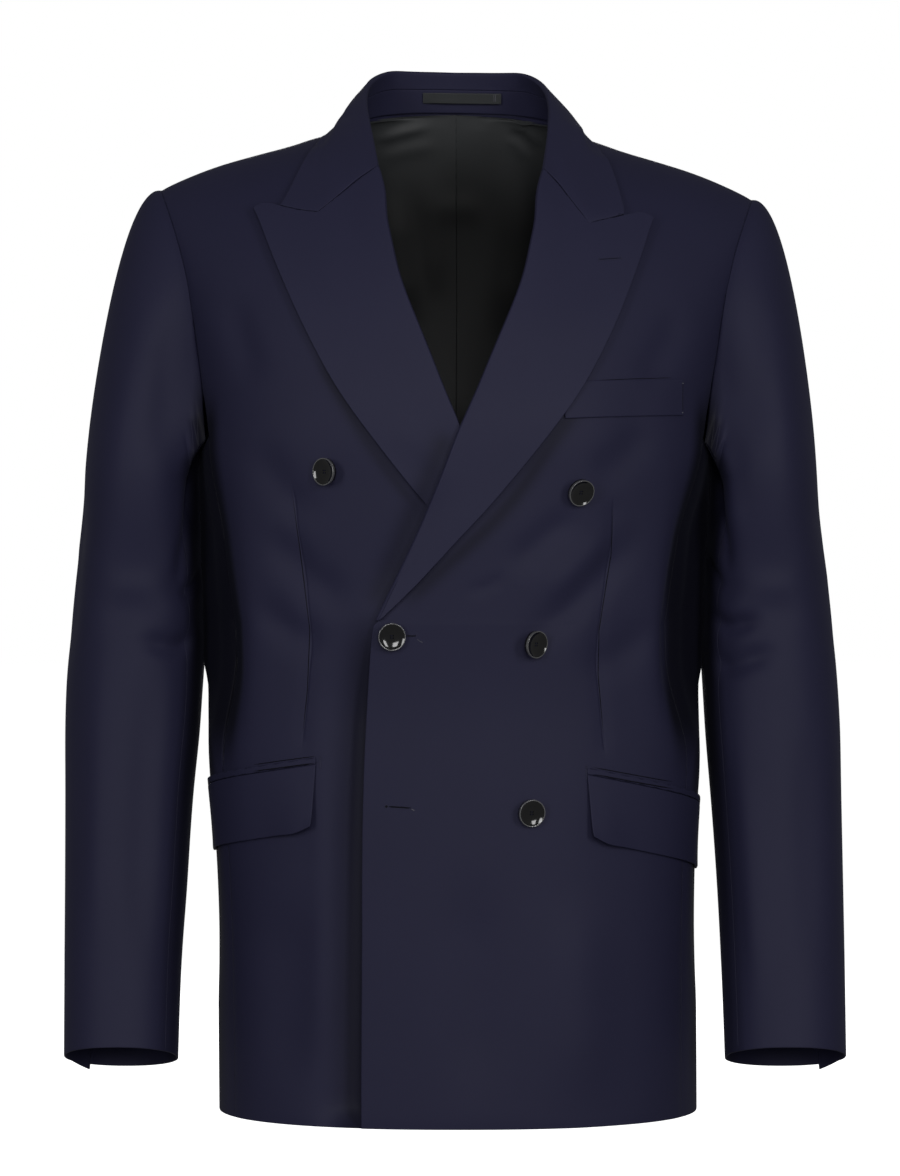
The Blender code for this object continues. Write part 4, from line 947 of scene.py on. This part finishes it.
def readRims():
    found = {}
    for name in sewnNames:
        mesh = shells[name].data
        found[name] = readPoints(mesh)[np.unique(sharpEdges(mesh))]
    return found, {name: treeOf(sharpPoints(shells[name].data)) for name in sewnNames}


def sinkSeams(name):
    shell = shells[name]
    others = [other for other in seamNames if other != name]
    seam = [point for point in rims[name]
            if any(rimTrees[other].find(point)[2] < edgeLook["meets"] for other in others)]
    if not seam:
        return
    tree = treeOf(seam)
    points = readPoints(shell.data)
    away = np.array([tree.find(point)[2] for point in points])
    depth = edgeLook["seamDepth"] * np.exp(-(away / edgeLook["seamReach"]) ** 2)
    writePoints(shell.data, points - clothOut(points, name) * depth[:, None])


def settleFall():
    # brings the collar's outer edge down on the shoulders and the back
    body = skinTree(("front_left", "front_right", "back_left", "back_right"))
    shell = shells["collar_fall"]
    edge, moves = [], []
    for point in rims["collar_fall"]:
        spot, _, _, far = body.find_nearest(Vector(point))
        outer = abs(point[0]) > fallLook["out"] and point[1] > fallLook["front"]
        if outer and point[2] < fallLook["top"] and fallLook["clear"] < far < fallLook["reach"]:
            edge.append(point)
            moves.append((np.array(spot) - point) * (1 - fallLook["clear"] / far))
    edge, moves = np.array(edge), np.array(moves)
    points = readPoints(shell.data)
    for i, point in enumerate(points):
        gap = np.linalg.norm(edge - point, axis=1)
        share = np.exp(-(gap / fallLook["spread"]) ** 2)
        points[i] += (moves * share[:, None]).sum(axis=0) / max(share.sum(), 1.0)
    writePoints(shell.data, points)


def overlapOf(name, other):
    if name in facingNames or other in facingNames:
        return edgeLook["facingOverlap"]
    crossing = name.startswith("sleeve") != other.startswith("sleeve")
    return edgeLook["armholeOverlap"] if crossing else edgeLook["overlap"]


def closeSeams(name):
    # draws a piece's seam edges halfway to the piece that they are sewn to, and a little over it
    shell = shells[name]
    points = readPoints(shell.data)
    lining = name.startswith("lining")
    others = [other for other in sewnNames if other != name and other.startswith("lining") == lining]
    for i in np.unique(sharpEdges(shell.data)):
        spot = points[i].copy()
        best = edgeLook["meets"]
        for other in others:
            found, _, far = rimTrees[other].find(spot)
            if far < best:
                best = far
                step = np.array(found) - spot
                points[i] = spot + step * 0.5 + step / max(far, tiny) * overlapOf(name, other)
    writePoints(shell.data, points)


def armWeight(place):
    spot = Vector((abs(place.x), place.y, place.z))
    far = (spot - Vector(armCorner["place"])).length
    return float(1 - smooth(far / armCorner["reach"]))


def roundEdges(shell):
    bm = bmesh.new()
    bm.from_mesh(shell.data)
    skin = bm.faces.layers.int["skin"]
    even = not shell.name.startswith("lapel")
    strip = edgeLook["strip"] if even else edgeLook["lapelStrip"]
    for number in (0, 1):
        faces = [face for face in bm.faces if face[skin] == number]
        bmesh.ops.inset_region(bm, faces=faces, thickness=strip, use_even_offset=even, use_boundary=True)
    corners = {vert for edge in bm.edges if not edge.smooth for vert in edge.verts}
    moves = {}
    for vert in corners:
        pull = Vector()
        for edge in vert.link_edges:
            if edge.smooth:
                pull += (edge.other_vert(vert).co - vert.co).normalized()
        moves[vert] = pull * edgeLook["rounding"]
    for vert, move in moves.items():
        vert.co += move
    for edge in bm.edges:
        edge.smooth = True
    bm.to_mesh(shell.data)
    bm.free()


def readSkin(mesh):
    skin = np.zeros(len(mesh.polygons), dtype=int)
    mesh.attributes["skin"].data.foreach_get("value", skin)
    return skin


def readFaces(mesh, what):
    values = np.empty(len(mesh.polygons) * 3)
    mesh.polygons.foreach_get(what, values)
    return values.reshape(-1, 3)


def innerSkin(shell, name):
    # the skin whose faces look towards the middle of the body or of the sleeve
    skin = readSkin(shell.data)
    out = clothOut(readFaces(shell.data, "center"), name)
    facing = (out * readFaces(shell.data, "normal")).sum(axis=1)
    return 0 if facing[skin == 0].mean() < facing[skin == 1].mean() else 1


def markLining(shell, name):
    mesh = shell.data
    x, y, z = readFaces(mesh, "center").T
    covered = (readSkin(mesh) == innerSkin(shell, name)) & (z > liningEnds[name.split("_")[0]])
    covered &= (z < liningEnds["armhole"]) | (np.abs(x) < liningEnds["across"])
    lined = mesh.attributes.new("lined", "FLOAT", "FACE")
    lined.data.foreach_set("value", covered.astype(np.float32))


# Painted shade: the colour is darkened where the sleeve and the body lie against each other, and towards the
# body's side edges
closeShade = {
    "heights": (-0.180, -0.225, -0.440, -0.700),
    "strength": 0.86,
    "foot": 0.45,
    "sleeve": (0.003, 0.015),
    "armhole": 0.186,
    "body": (0.010, 0.002),
    "rimFade": 0.03,
    "turn": (-0.076, -0.060),
    "turnFoot": -0.490,
    "across": 0.150,
    "acrossFade": 0.01,
    "rear": 0.03,
    "bin": 0.010,
}
# Painted shadow also lies beside the over front and under the lapels' edges, where a depth is a share of the
# colour
underShade = fold([(-0.0600, -0.352), (-0.0660, -0.420), (-0.0700, -0.560), (-0.0720, -0.745)],
                  0.0140, 0.50, 0.12, 0.001)
crossShade = fold([(-0.0040, -0.2270), (-0.0330, -0.2960), (-0.0630, -0.3640)], 0.0085, 0.42, 0.10, 0.15)
edgeShades = {
    "front_left": (fold([(0.0985, -0.1995), (0.0690, -0.2395), (0.0455, -0.2740), (0.0222, -0.3007),
                         (-0.0113, -0.3310), (-0.0430, -0.3600)], 0.0060, 0.50, 0.15, 0.12),),
    "front_right": (underShade, crossShade, fold([(-0.1035, -0.1720), (-0.0645, -0.2380), (-0.0245, -0.2905)],
                                                 0.0048, 0.40, 0.15, 0.12)),
    "lapel_right": (crossShade,),
}


def edgeByHeight(names, pick):
    # the innermost or outermost reach of some pieces, height by height
    points = np.concatenate([readPoints(shells[name].data) for name in names])
    reach = np.abs(points[:, 0])
    steps = np.round(points[:, 2] / closeShade["bin"]).astype(int)
    keys = np.unique(steps)
    return keys * closeShade["bin"], np.array([pick(reach[steps == key]) for key in keys])


# the painted shade of each point, kept in the shell's shade attribute for the wool's colour
def markShade(shell, name, side):
    x, y, z = readPoints(shell.data).T
    reach = np.abs(x)
    facts = closeShade
    top, full, low, foot = facts["heights"]
    begun = smooth((top - z) / (top - full))
    level = begun * (1 - (1 - facts["foot"]) * smooth((low - z) / (low - foot)))
    if name.startswith("sleeve"):
        near, far = facts["sleeve"]
        inner = np.maximum(np.interp(z, *armEdges[side]), facts["armhole"])
        share = 1 - smooth((reach - inner - near) / (far - near))
    else:
        near, far = facts["body"]
        start, end = facts["turn"]
        outer = np.interp(z, *bodyEdges[side])
        rim = smooth((reach - outer + near) / (near - far)) * smooth((y - start) / facts["rimFade"])
        tuck = smooth((y - start) / (end - start)) * smooth((reach - facts["across"]) / facts["acrossFade"])
        waist = begun * smooth((z - facts["turnFoot"]) / (low - facts["turnFoot"]))
        share = np.maximum(rim, tuck * waist) * (y < facts["rear"])
    shade = facts["strength"] * level * share
    for row in edgeShades.get(name, ()):
        shade = np.maximum(shade, creaseDepth(x, z, (row,)) * (y < 0))
    shades = shell.data.attributes.new("shade", "FLOAT", "POINT")
    shades.data.foreach_set("value", np.clip(shade, 0, 1).astype(np.float32))


rims, rimTrees = readRims()
for name in seamNames:
    sinkSeams(name)
settleFall()
rims, rimTrees = readRims()
for name in sewnNames:
    closeSeams(name)
for name in seamNames:
    if name.startswith("sleeve"):
        easeShell(shells[name], armWeight, armCorner["rounds"])
armEdges = {side: edgeByHeight(["sleeve_top_" + side, "sleeve_under_" + side], np.min) for side in sides}
bodyEdges = {side: edgeByHeight(["front_" + side, "side_" + side, "back_" + side], np.max) for side in sides}
print("seams sunk and closed")


# Each shell gets its cloth and its place in the frame

finishes = {
    "wool": (wool, "navy_wool"),
    "facing": (facingWool, "navy_wool_facing"),
    "satin": (satin, "grey_satin"),
}


def finishShell(shell, name):
    kind = "facing" if name in facingNames else "satin" if name in satinNames else "wool"
    material, slot = finishes[kind]
    shell.data.materials.append(material)
    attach(shell, "root")
    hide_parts(name)


for name, shell in shells.items():
    roundEdges(shell)
    if name in seamNames or name in edgeShades:
        markShade(shell, name, name.split("_")[-1])
    if shellFacts[name].get("lined"):
        markLining(shell, name)
    finishShell(shell, name)
print("edges rounded and cloth laid on:", len(shells))


# Buttons: one turned shape, copied to its five places

# steps are the widths and drops of the dished face, from the rim inwards
buttonFacts = {
    "radius": 0.0100,
    "depth": 0.0036,
    "rim": 0.00055,
    "steps": ((0.0010, 0.00060), (0.0015, 0.00052), (0.0016, 0.00032), (0.0016, 0.00016), (0.0012, 0.00004)),
    "back": 0.0022,
    "backDrop": 0.0003,
    "rounding": 0.00026,
    "rimWidths": 1.6,
    "rimHeight": 0.72,
    "hole": 0.00058,
    "pitch": 0.00125,
    "thread": 0.00021,
    "strandShift": 0.00022,
    "strandReach": 0.72,
    "strandArch": 0.00035,
    "shank": 0.0013,
    "shankSink": 0.0006,
    "foot": 0.42,
    "lift": 0.80,
}
# How far each button leans, and the way across and up that its face then looks
buttonTilts = {
    "button_1": {"degrees": 27, "towards": (-1.0, 0.10)},
    "button_2": {"degrees": 29, "towards": (0.50, -0.85)},
    "button_3": {"degrees": 12, "towards": (1.0, 0.05)},
    "button_4": {"degrees": 36, "towards": (1.0, -0.12)},
    "button_5": {"degrees": 17, "towards": (0.75, -0.60)},
}


def pickFaces(mesh, test):
    # in edit mode, selects the faces whose normal passes a test
    bpy.ops.mesh.select_mode(type="FACE")
    bpy.ops.mesh.select_all(action="DESELECT")
    bm = bmesh.from_edit_mesh(mesh)
    for face in bm.faces:
        face.select_set(test(face.normal))
    bmesh.update_edit_mesh(mesh)


def onTop(normal):
    return normal.z > 0.9


def underneath(normal):
    return normal.z < -0.9


def onSide(normal):
    return abs(normal.z) < 0.3


def drillHoles(button):
    facts = buttonFacts
    drills = []
    for i in range(4):
        turn = math.radians(45 + 90 * i)
        spot = (math.cos(turn) * facts["pitch"], math.sin(turn) * facts["pitch"], facts["depth"] / 2)
        bpy.ops.mesh.primitive_cylinder_add(vertices=14, radius=facts["hole"], depth=facts["depth"] * 3,
                                            location=spot)
        applyPlace()
        drills.append(bpy.context.object)
    for drill in drills:
        cut = button.modifiers.new("hole", "BOOLEAN")
        cut.object = drill
        cut.operation = "DIFFERENCE"
        cut.solver = "EXACT"
        applyModifiers(button)
        bpy.data.objects.remove(drill, do_unlink=True)


def turnButton():
    facts = buttonFacts
    bpy.ops.object.select_all(action="DESELECT")
    bpy.ops.mesh.primitive_cylinder_add(vertices=64, radius=facts["radius"], depth=facts["depth"],
                                        location=(0, 0, facts["depth"] / 2))
    button = bpy.context.object
    applyPlace()
    bpy.ops.object.mode_set(mode="EDIT")
    pickFaces(button.data, onTop)
    bpy.ops.mesh.inset(thickness=facts["rim"])
    for width, drop in facts["steps"]:
        bpy.ops.mesh.inset(thickness=width, depth=-drop)
    pickFaces(button.data, underneath)
    bpy.ops.mesh.inset(thickness=facts["back"], depth=0.0)
    bpy.ops.mesh.extrude_region_move(TRANSFORM_OT_translate={"value": (0, 0, -facts["backDrop"])})
    pickFaces(button.data, onSide)
    bpy.ops.mesh.subdivide(number_cuts=1)
    bpy.ops.object.mode_set(mode="OBJECT")
    bevel = button.modifiers.new("rounding", "BEVEL")
    bevel.width = facts["rounding"]
    bevel.segments = 4
    bevel.limit_method = "ANGLE"
    bevel.angle_limit = math.radians(24)
    applyModifiers(button)
    drillHoles(button)
    # faces on the top of the rim take the painted reflection
    rimStart = facts["radius"] - facts["rim"] - facts["rounding"] * facts["rimWidths"]
    for polygon in button.data.polygons:
        x, y, z = polygon.center
        polygon.material_index = int(math.hypot(x, y) > rimStart and z > facts["depth"] * facts["rimHeight"])
    smoothOver(button, 40)
    button.data.materials.append(gloss)
    button.data.materials.append(rimPaintedReflection)
    return button


def threadBar(start, end, radius, arch):
    # a short rounded bar of thread between two points, bowed upwards
    bpy.ops.mesh.primitive_cylinder_add(vertices=8, radius=radius, depth=1.0, end_fill_type="NGON")
    bar = bpy.context.object
    bpy.ops.object.mode_set(mode="EDIT")
    pickFaces(bar.data, onSide)
    bpy.ops.mesh.subdivide(number_cuts=3)
    bpy.ops.object.mode_set(mode="OBJECT")
    span = end - start
    turn = span.to_track_quat("Z", "Y").to_matrix()
    points = readPoints(bar.data)
    share = points[:, 2] + 0.5
    points[:, 2] *= span.length
    points = points @ np.array(turn).T + np.array((start + end) / 2)
    points[:, 2] += arch * np.sin(np.pi * share)
    writePoints(bar.data, points)
    bar.data.materials.append(navyThread)
    return bar


def joinPieces(pieces, name):
    bpy.ops.object.select_all(action="DESELECT")
    for piece in pieces:
        piece.select_set(True)
    bpy.context.view_layer.objects.active = pieces[0]
    if len(pieces) > 1:
        bpy.ops.object.join()
    joined = bpy.context.object
    joined.name = name
    joined.data.name = name
    return joined


def buttonFacing(axis, lean):
    # the solid's own axis, leaned by some degrees
    towards = np.array((lean["towards"][0], 0.0, lean["towards"][1]))
    towards -= axis * towards.dot(axis)
    towards /= np.linalg.norm(towards)
    angle = math.radians(lean["degrees"])
    return Vector(axis * math.cos(angle) + towards * math.sin(angle)), math.sin(angle)


def sewButton(pattern, name):
    facts = buttonFacts
    points = readPoints(nodes[name].data)
    middle = points.mean(axis=0)
    axis = np.linalg.svd(points - middle, full_matrices=False)[2][2]
    axis *= -np.sign(axis[1])  # out of the cloth, to the front
    facing, slope = buttonFacing(axis, buttonTilts[name])
    foot = Vector(middle - axis * facts["depth"] * facts["foot"])
    place = foot + Vector(axis) * facts["radius"] * slope * facts["lift"]
    matrix = Matrix.Translation(place) @ facing.to_track_quat("Z", "Y").to_matrix().to_4x4()
    only(pattern)
    bpy.ops.object.duplicate()
    body = bpy.context.object
    body.data.transform(matrix)
    top = facts["depth"] - sum(drop for width, drop in facts["steps"])
    reach = facts["pitch"] * facts["strandReach"]
    strands = []
    for sign in (-1, 1):
        for shift in (-facts["strandShift"], facts["strandShift"]):
            start = Vector((-reach, sign * reach + shift, top))
            end = Vector((reach, sign * reach - shift, top))
            strands.append(threadBar(start, end, facts["thread"], facts["strandArch"]))
    for strand in strands:
        strand.data.transform(matrix)
    shank = threadBar(foot - Vector(axis) * facts["shankSink"], place, facts["shank"], 0.0)
    button = joinPieces([body] + strands + [shank], name + "_gloss")
    smoothOver(button, 40)
    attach(button, "root")
    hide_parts(name)


pattern = turnButton()
for name in buttonTilts:
    sewButton(pattern, name)
bpy.data.objects.remove(pattern, do_unlink=True)
print("buttons sewn on")


# Seam lines, buttonholes, tacks and stitches lie on the cloth behind a place across and up

stitchLook = {
    "slitLift": 0.00004,
    "lip": 0.00024,
    "lipLift": 0.00008,
    "lipSteps": 16,
    "lipStart": 0.82,  # the lips' distance from the slit at its ends, as a share of that at its middle
    "lipWobble": 0.00008,
    "wobbleTurn": 2.7,
    "tack": 0.00030,
    "tackReach": 0.0018,
    "strand": 0.00026,
    "strandGap": 0.00045,
    "lift": 0.00016,
    "dot": 0.00030,
    "dotReach": 0.0004,
    "dotLift": 0.0003,
    "endStitch": 0.00022,
    "endLift": 0.00012,
    "endGap": 0.0006,
}


frontOfCloth = -0.1


def onCloth(tree, x, z, lift, start=-1.0):
    spot, normal, _, _ = tree.ray_cast(Vector((x, start, z)), Vector((0, 1, 0)))
    if spot is None:  # just past the cloth's edge
        spot, normal, _, _ = tree.find_nearest(Vector((x, frontOfCloth, z)))
    if normal.y > 0:
        normal = -normal
    return spot + normal * lift


def smoothRoute(tree, places, lift, start=-1.0, steps=6):
    route = []
    for (x0, z0), (x1, z1) in zip(places, places[1:]):
        for i in range(steps):
            share = i / steps
            route.append(onCloth(tree, x0 + (x1 - x0) * share, z0 + (z1 - z0) * share, lift, start))
    route.append(onCloth(tree, *places[-1], lift, start))
    return route


def threadLine(route, radius, material, taper=True):
    curve = bpy.data.curves.new("thread", "CURVE")
    curve.dimensions = "3D"
    curve.bevel_depth = radius
    curve.bevel_resolution = 2
    curve.use_fill_caps = True
    spline = curve.splines.new("POLY")
    spline.points.add(len(route) - 1)
    for i, spot in enumerate(route):
        share = i / (len(route) - 1)
        spline.points[i].co = (*spot, 1)
        spline.points[i].radius = max(0.25, min(1.0, 6 * min(share, 1 - share))) if taper else 1.0
    line = bpy.data.objects.new("thread", curve)
    bpy.context.scene.collection.objects.link(line)
    only(line)
    bpy.ops.object.convert(target="MESH")
    line = bpy.context.object
    line.data.materials.append(material)
    return line


def settleDetail(pieces, name):
    piece = joinPieces(pieces, name)
    smoothOver(piece, 50)
    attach(piece, "root")


pocketRight = ("front_right", "side_right", "pocket_jet_right")
pocketLeft = ("front_left", "side_left", "pocket_jet_left")
breast = ("front_left", "breast_welt")
# Each seam line is a near black thread sunk along its groove or opening: painted shadow for darts, welts,
# jets and flaps
seamShadowLines = {
    "dart_line_right": {"on": ("front_right",), "path": darts["right"], "radius": 0.00034, "sink": 0.00012},
    "dart_line_left": {"on": ("front_left",), "path": darts["left"], "radius": 0.00034, "sink": 0.00012},
    "welt_line_top": {"on": breast, "radius": 0.00030, "sink": 0.00016,
                      "path": [(0.0952, -0.1934), (0.1300, -0.1910), (0.1655, -0.1888)]},
    "welt_line_end": {"on": breast, "radius": 0.00026, "sink": 0.00014,
                      "path": [(0.1671, -0.1890), (0.1669, -0.2050), (0.1669, -0.2156)]},
    "jet_line_right": {"on": pocketRight, "radius": 0.00038, "sink": 0.00010,
                       "path": [(-0.1520, -0.4747), (-0.1270, -0.4706), (-0.1005, -0.4667)]},
    "jet_line_left": {"on": pocketLeft, "radius": 0.00038, "sink": 0.00010,
                      "path": [(0.0972, -0.4745), (0.1300, -0.4812), (0.1640, -0.4882)]},
    "flap_line_right": {"on": pocketRight + ("pocket_flap_right",), "radius": 0.00046, "sink": 0.00012,
                        "path": [(-0.1520, -0.4794), (-0.1270, -0.4756), (-0.1012, -0.4716)]},
    "flap_line_left": {"on": pocketLeft + ("pocket_flap_left",), "radius": 0.00046, "sink": 0.00012,
                       "path": [(0.0985, -0.4796), (0.1300, -0.4862), (0.1640, -0.4932)]},
}
for name, facts in seamShadowLines.items():
    route = smoothRoute(skinTree(facts["on"]), facts["path"], -facts["sink"], steps=14)
    settleDetail([threadLine(route, facts["radius"], seamShadowThread)], name)
print("seam lines laid")


# tacked are the ends with a bar across them, and loose the ends of thread that hang out
buttonholes = {
    "buttonhole_middle": {
        "on": ("front_left",), "ends": [(-0.0366, -0.3789), (-0.0290, -0.3789)], "tacked": (1,),
        "lips": 0.00075, "slit": 0.00040, "loose": [
            {"path": [(-0.0284, -0.3812), (-0.0268, -0.3826), (-0.0252, -0.3832), (-0.0243, -0.3840)],
             "radius": 0.00014, "lift": 0.00022}],
    },
    "buttonhole_low": {
        "on": ("front_left",), "ends": [(-0.0496, -0.5031), (-0.0328, -0.5042)], "tacked": (1,),
        "lips": 0.00085, "slit": 0.00048, "eye": (-0.0508, -0.5031), "loose": [
            {"path": [(-0.0328, -0.5046), (-0.0316, -0.5056), (-0.0306, -0.5064)],
             "radius": 0.00012, "lift": 0.00018},
            {"path": [(-0.0328, -0.5046), (-0.0310, -0.5056), (-0.0300, -0.5058)],
             "radius": 0.00012, "lift": 0.00018}],
    },
    "buttonhole_lapel": {
        "on": ("lapel_left",), "ends": [(0.1046, -0.1030), (0.1214, -0.1014)], "tacked": (0, 1),
        "lips": 0.00095, "slit": 0.00022,
    },
}
eyeLook = {"radius": 0.00125, "thickness": 0.00034, "pit": 0.00105, "flat": 0.25, "lift": 0.00010}


def sewEye(spot):
    # the round end of a buttonhole: a sewn ring with a flattened near black ball in it, painted shade for its
    # hollow
    bpy.ops.mesh.primitive_torus_add(major_segments=28, minor_segments=8, major_radius=eyeLook["radius"],
                                     minor_radius=eyeLook["thickness"], location=spot,
                                     rotation=(math.radians(90), 0, 0))
    applyPlace()
    ring = bpy.context.object
    ring.data.materials.append(lipThread)
    bpy.ops.mesh.primitive_uv_sphere_add(segments=20, ring_count=10, radius=eyeLook["pit"], location=spot)
    pit = bpy.context.object
    points = readPoints(pit.data)
    points[:, 1] *= eyeLook["flat"]
    writePoints(pit.data, points)
    applyPlace()
    pit.data.materials.append(seamShadowThread)
    return [ring, pit]


def sewButtonhole(name, facts):
    look = stitchLook
    tree = skinTree(facts["on"])
    start, end = np.array(facts["ends"])
    along = end - start
    across = np.array((-along[1], along[0])) / np.linalg.norm(along)
    # the slit is a near black thread, painted shade in the opening
    pieces = [threadLine(smoothRoute(tree, facts["ends"], look["slitLift"]), facts["slit"], seamShadowThread)]
    for sign in (-1, 1):
        places = []
        for i in range(look["lipSteps"] + 1):
            share = i / look["lipSteps"]
            bow = facts["lips"] * (look["lipStart"] + (1 - look["lipStart"]) * math.sin(math.pi * share))
            bow += look["lipWobble"] * math.sin(i * look["wobbleTurn"] + sign)
            places.append(tuple(start + along * share + across * bow * sign))
        pieces.append(threadLine(smoothRoute(tree, places, look["lipLift"], steps=1), look["lip"], lipThread))
    for i in facts["tacked"]:
        reach = look["tackReach"]
        places = [tuple(np.array(facts["ends"][i]) + across * shift) for shift in (-reach, 0.0, reach)]
        pieces.append(threadLine(smoothRoute(tree, places, look["lift"]), look["tack"], lipThread))
    if "eye" in facts:
        pieces += sewEye(onCloth(tree, *facts["eye"], eyeLook["lift"]))
    for loose in facts.get("loose", ()):
        route = smoothRoute(tree, loose["path"], loose["lift"])
        pieces.append(threadLine(route, loose["radius"], paleThread))
    settleDetail(pieces, name)


for name, facts in buttonholes.items():
    sewButtonhole(name, facts)
print("buttonholes sewn")

tacks = {
    "pocket_tack_right": {"on": ("front_right",), "ends": [(-0.0993, -0.4671), (-0.0996, -0.4766)]},
    "pocket_tack_left": {"on": ("front_left",), "ends": [(0.0950, -0.4737), (0.0952, -0.4846)]},
}
weltStitches = ((0.1671, -0.1931), (0.1669, -0.2148))
# The hanger loop is looked for from between the lapels, past the front of the collar
hangerStitches = {"across": (-0.0268, 0.0303), "heights": (0.0402, 0.0345), "from": -0.04}


def sewTack(name, facts):
    look = stitchLook
    tree = skinTree(facts["on"])
    strands = []
    for shift in (-look["strandGap"], 0.0, look["strandGap"]):
        route = smoothRoute(tree, [(x + shift, z) for x, z in facts["ends"]], look["lift"])
        strands.append(threadLine(route, look["strand"], lipThread))
    settleDetail(strands, name)


def sewWeltStitches():
    look = stitchLook
    tree = skinTree(breast)
    reach = look["dotReach"]
    dots = []
    for x, z in weltStitches:
        places = ((x + reach, 0.0), (x, look["dotLift"]), (x - reach, 0.0))
        route = [onCloth(tree, across, z, lift) for across, lift in places]
        dots.append(threadLine(route, look["dot"], paleThread, taper=False))
    settleDetail(dots, "welt_stitches")


def sewHangerStitches():
    facts = hangerStitches
    tree = skinTree(("hanger_loop",))
    ends = []
    for x in facts["across"]:
        for shift in (-stitchLook["endGap"], stitchLook["endGap"]):
            places = [(x + shift, z) for z in facts["heights"]]
            route = smoothRoute(tree, places, stitchLook["endLift"], facts["from"])
            ends.append(threadLine(route, stitchLook["endStitch"], paleThread))
    settleDetail(ends, "hanger_stitches")


for name, facts in tacks.items():
    sewTack(name, facts)
sewWeltStitches()
sewHangerStitches()
print("tacks and stitches sewn")


# Floor, light and camera

stageLook = {"floor": -1.02, "size": 60.0, "colour": (0.80, 0.80, 0.80), "roughness": 0.9, "specular": 0.1,
             "glow": 0.90, "world": 0.13}
lights = (
    {"name": "front", "place": (0.20, -3.4, 0.35), "aim": (0, 0, -0.36), "size": (0.9, 1.4), "power": 26},
    {"name": "keyRight", "place": (1.8, -2.7, 0.30), "aim": (0, 0, -0.38), "size": (0.7, 1.5), "power": 21},
    {"name": "keyLeft", "place": (-1.8, -2.6, 0.20), "aim": (0, 0, -0.36), "size": (0.7, 1.5), "power": 18},
    {"name": "rear", "place": (0.0, 3.6, 0.5), "aim": (0, 0, -0.35), "size": (1.0, 1.4), "power": 30},
)
cameraFacts = {"lens": 112.78, "sensor": 36.0, "place": (-0.00456, -2.8, -0.344)}


def makeStage():
    look = stageLook
    bpy.ops.mesh.primitive_plane_add(size=look["size"], location=(0, 0, look["floor"]))
    floor = bpy.context.object
    floor.name = "studio_floor"
    applyPlace()
    material, tree, shader = newMaterial("paleFloor", look["roughness"], {
        "Specular IOR Level": look["specular"],
        "Base Color": (*look["colour"], 1),
        "Emission Color": (1, 1, 1, 1),
        "Emission Strength": look["glow"],
    })
    floor.data.materials.append(material)
    floor.visible_diffuse = False
    floor.visible_glossy = False


def makeWorld():
    # white behind the blazer, and a faint light from all round on it
    world = bpy.data.worlds.new("studio")
    bpy.context.scene.world = world
    world.use_nodes = True
    tree = world.node_tree
    back = tree.nodes["Background"]
    back.inputs["Color"].default_value = (1, 1, 1, 1)
    seen = addNode(tree, "ShaderNodeLightPath").outputs["Is Camera Ray"]
    tree.links.new(spread(tree, seen, stageLook["world"], 1.0), back.inputs["Strength"])


def makeLights():
    for facts in lights:
        data = bpy.data.lights.new(facts["name"], "AREA")
        data.shape = "RECTANGLE"
        data.size, data.size_y = facts["size"]
        data.energy = facts["power"]
        light = bpy.data.objects.new(facts["name"], data)
        bpy.context.scene.collection.objects.link(light)
        light.location = facts["place"]
        aim = Vector(facts["aim"]) - light.location
        light.rotation_euler = aim.to_track_quat("-Z", "Y").to_euler()


def makeCamera():
    data = bpy.data.cameras.new("view")
    data.sensor_width = cameraFacts["sensor"]
    data.lens = cameraFacts["lens"]
    camera = bpy.data.objects.new("view", data)
    camera.location = cameraFacts["place"]
    camera.rotation_euler = (math.radians(90), 0, 0)
    bpy.context.scene.collection.objects.link(camera)
    bpy.context.scene.camera = camera


makeStage()
makeWorld()
makeLights()
makeCamera()
bpy.context.scene.view_settings.view_transform = "Standard"
print("stage, lights and camera set")
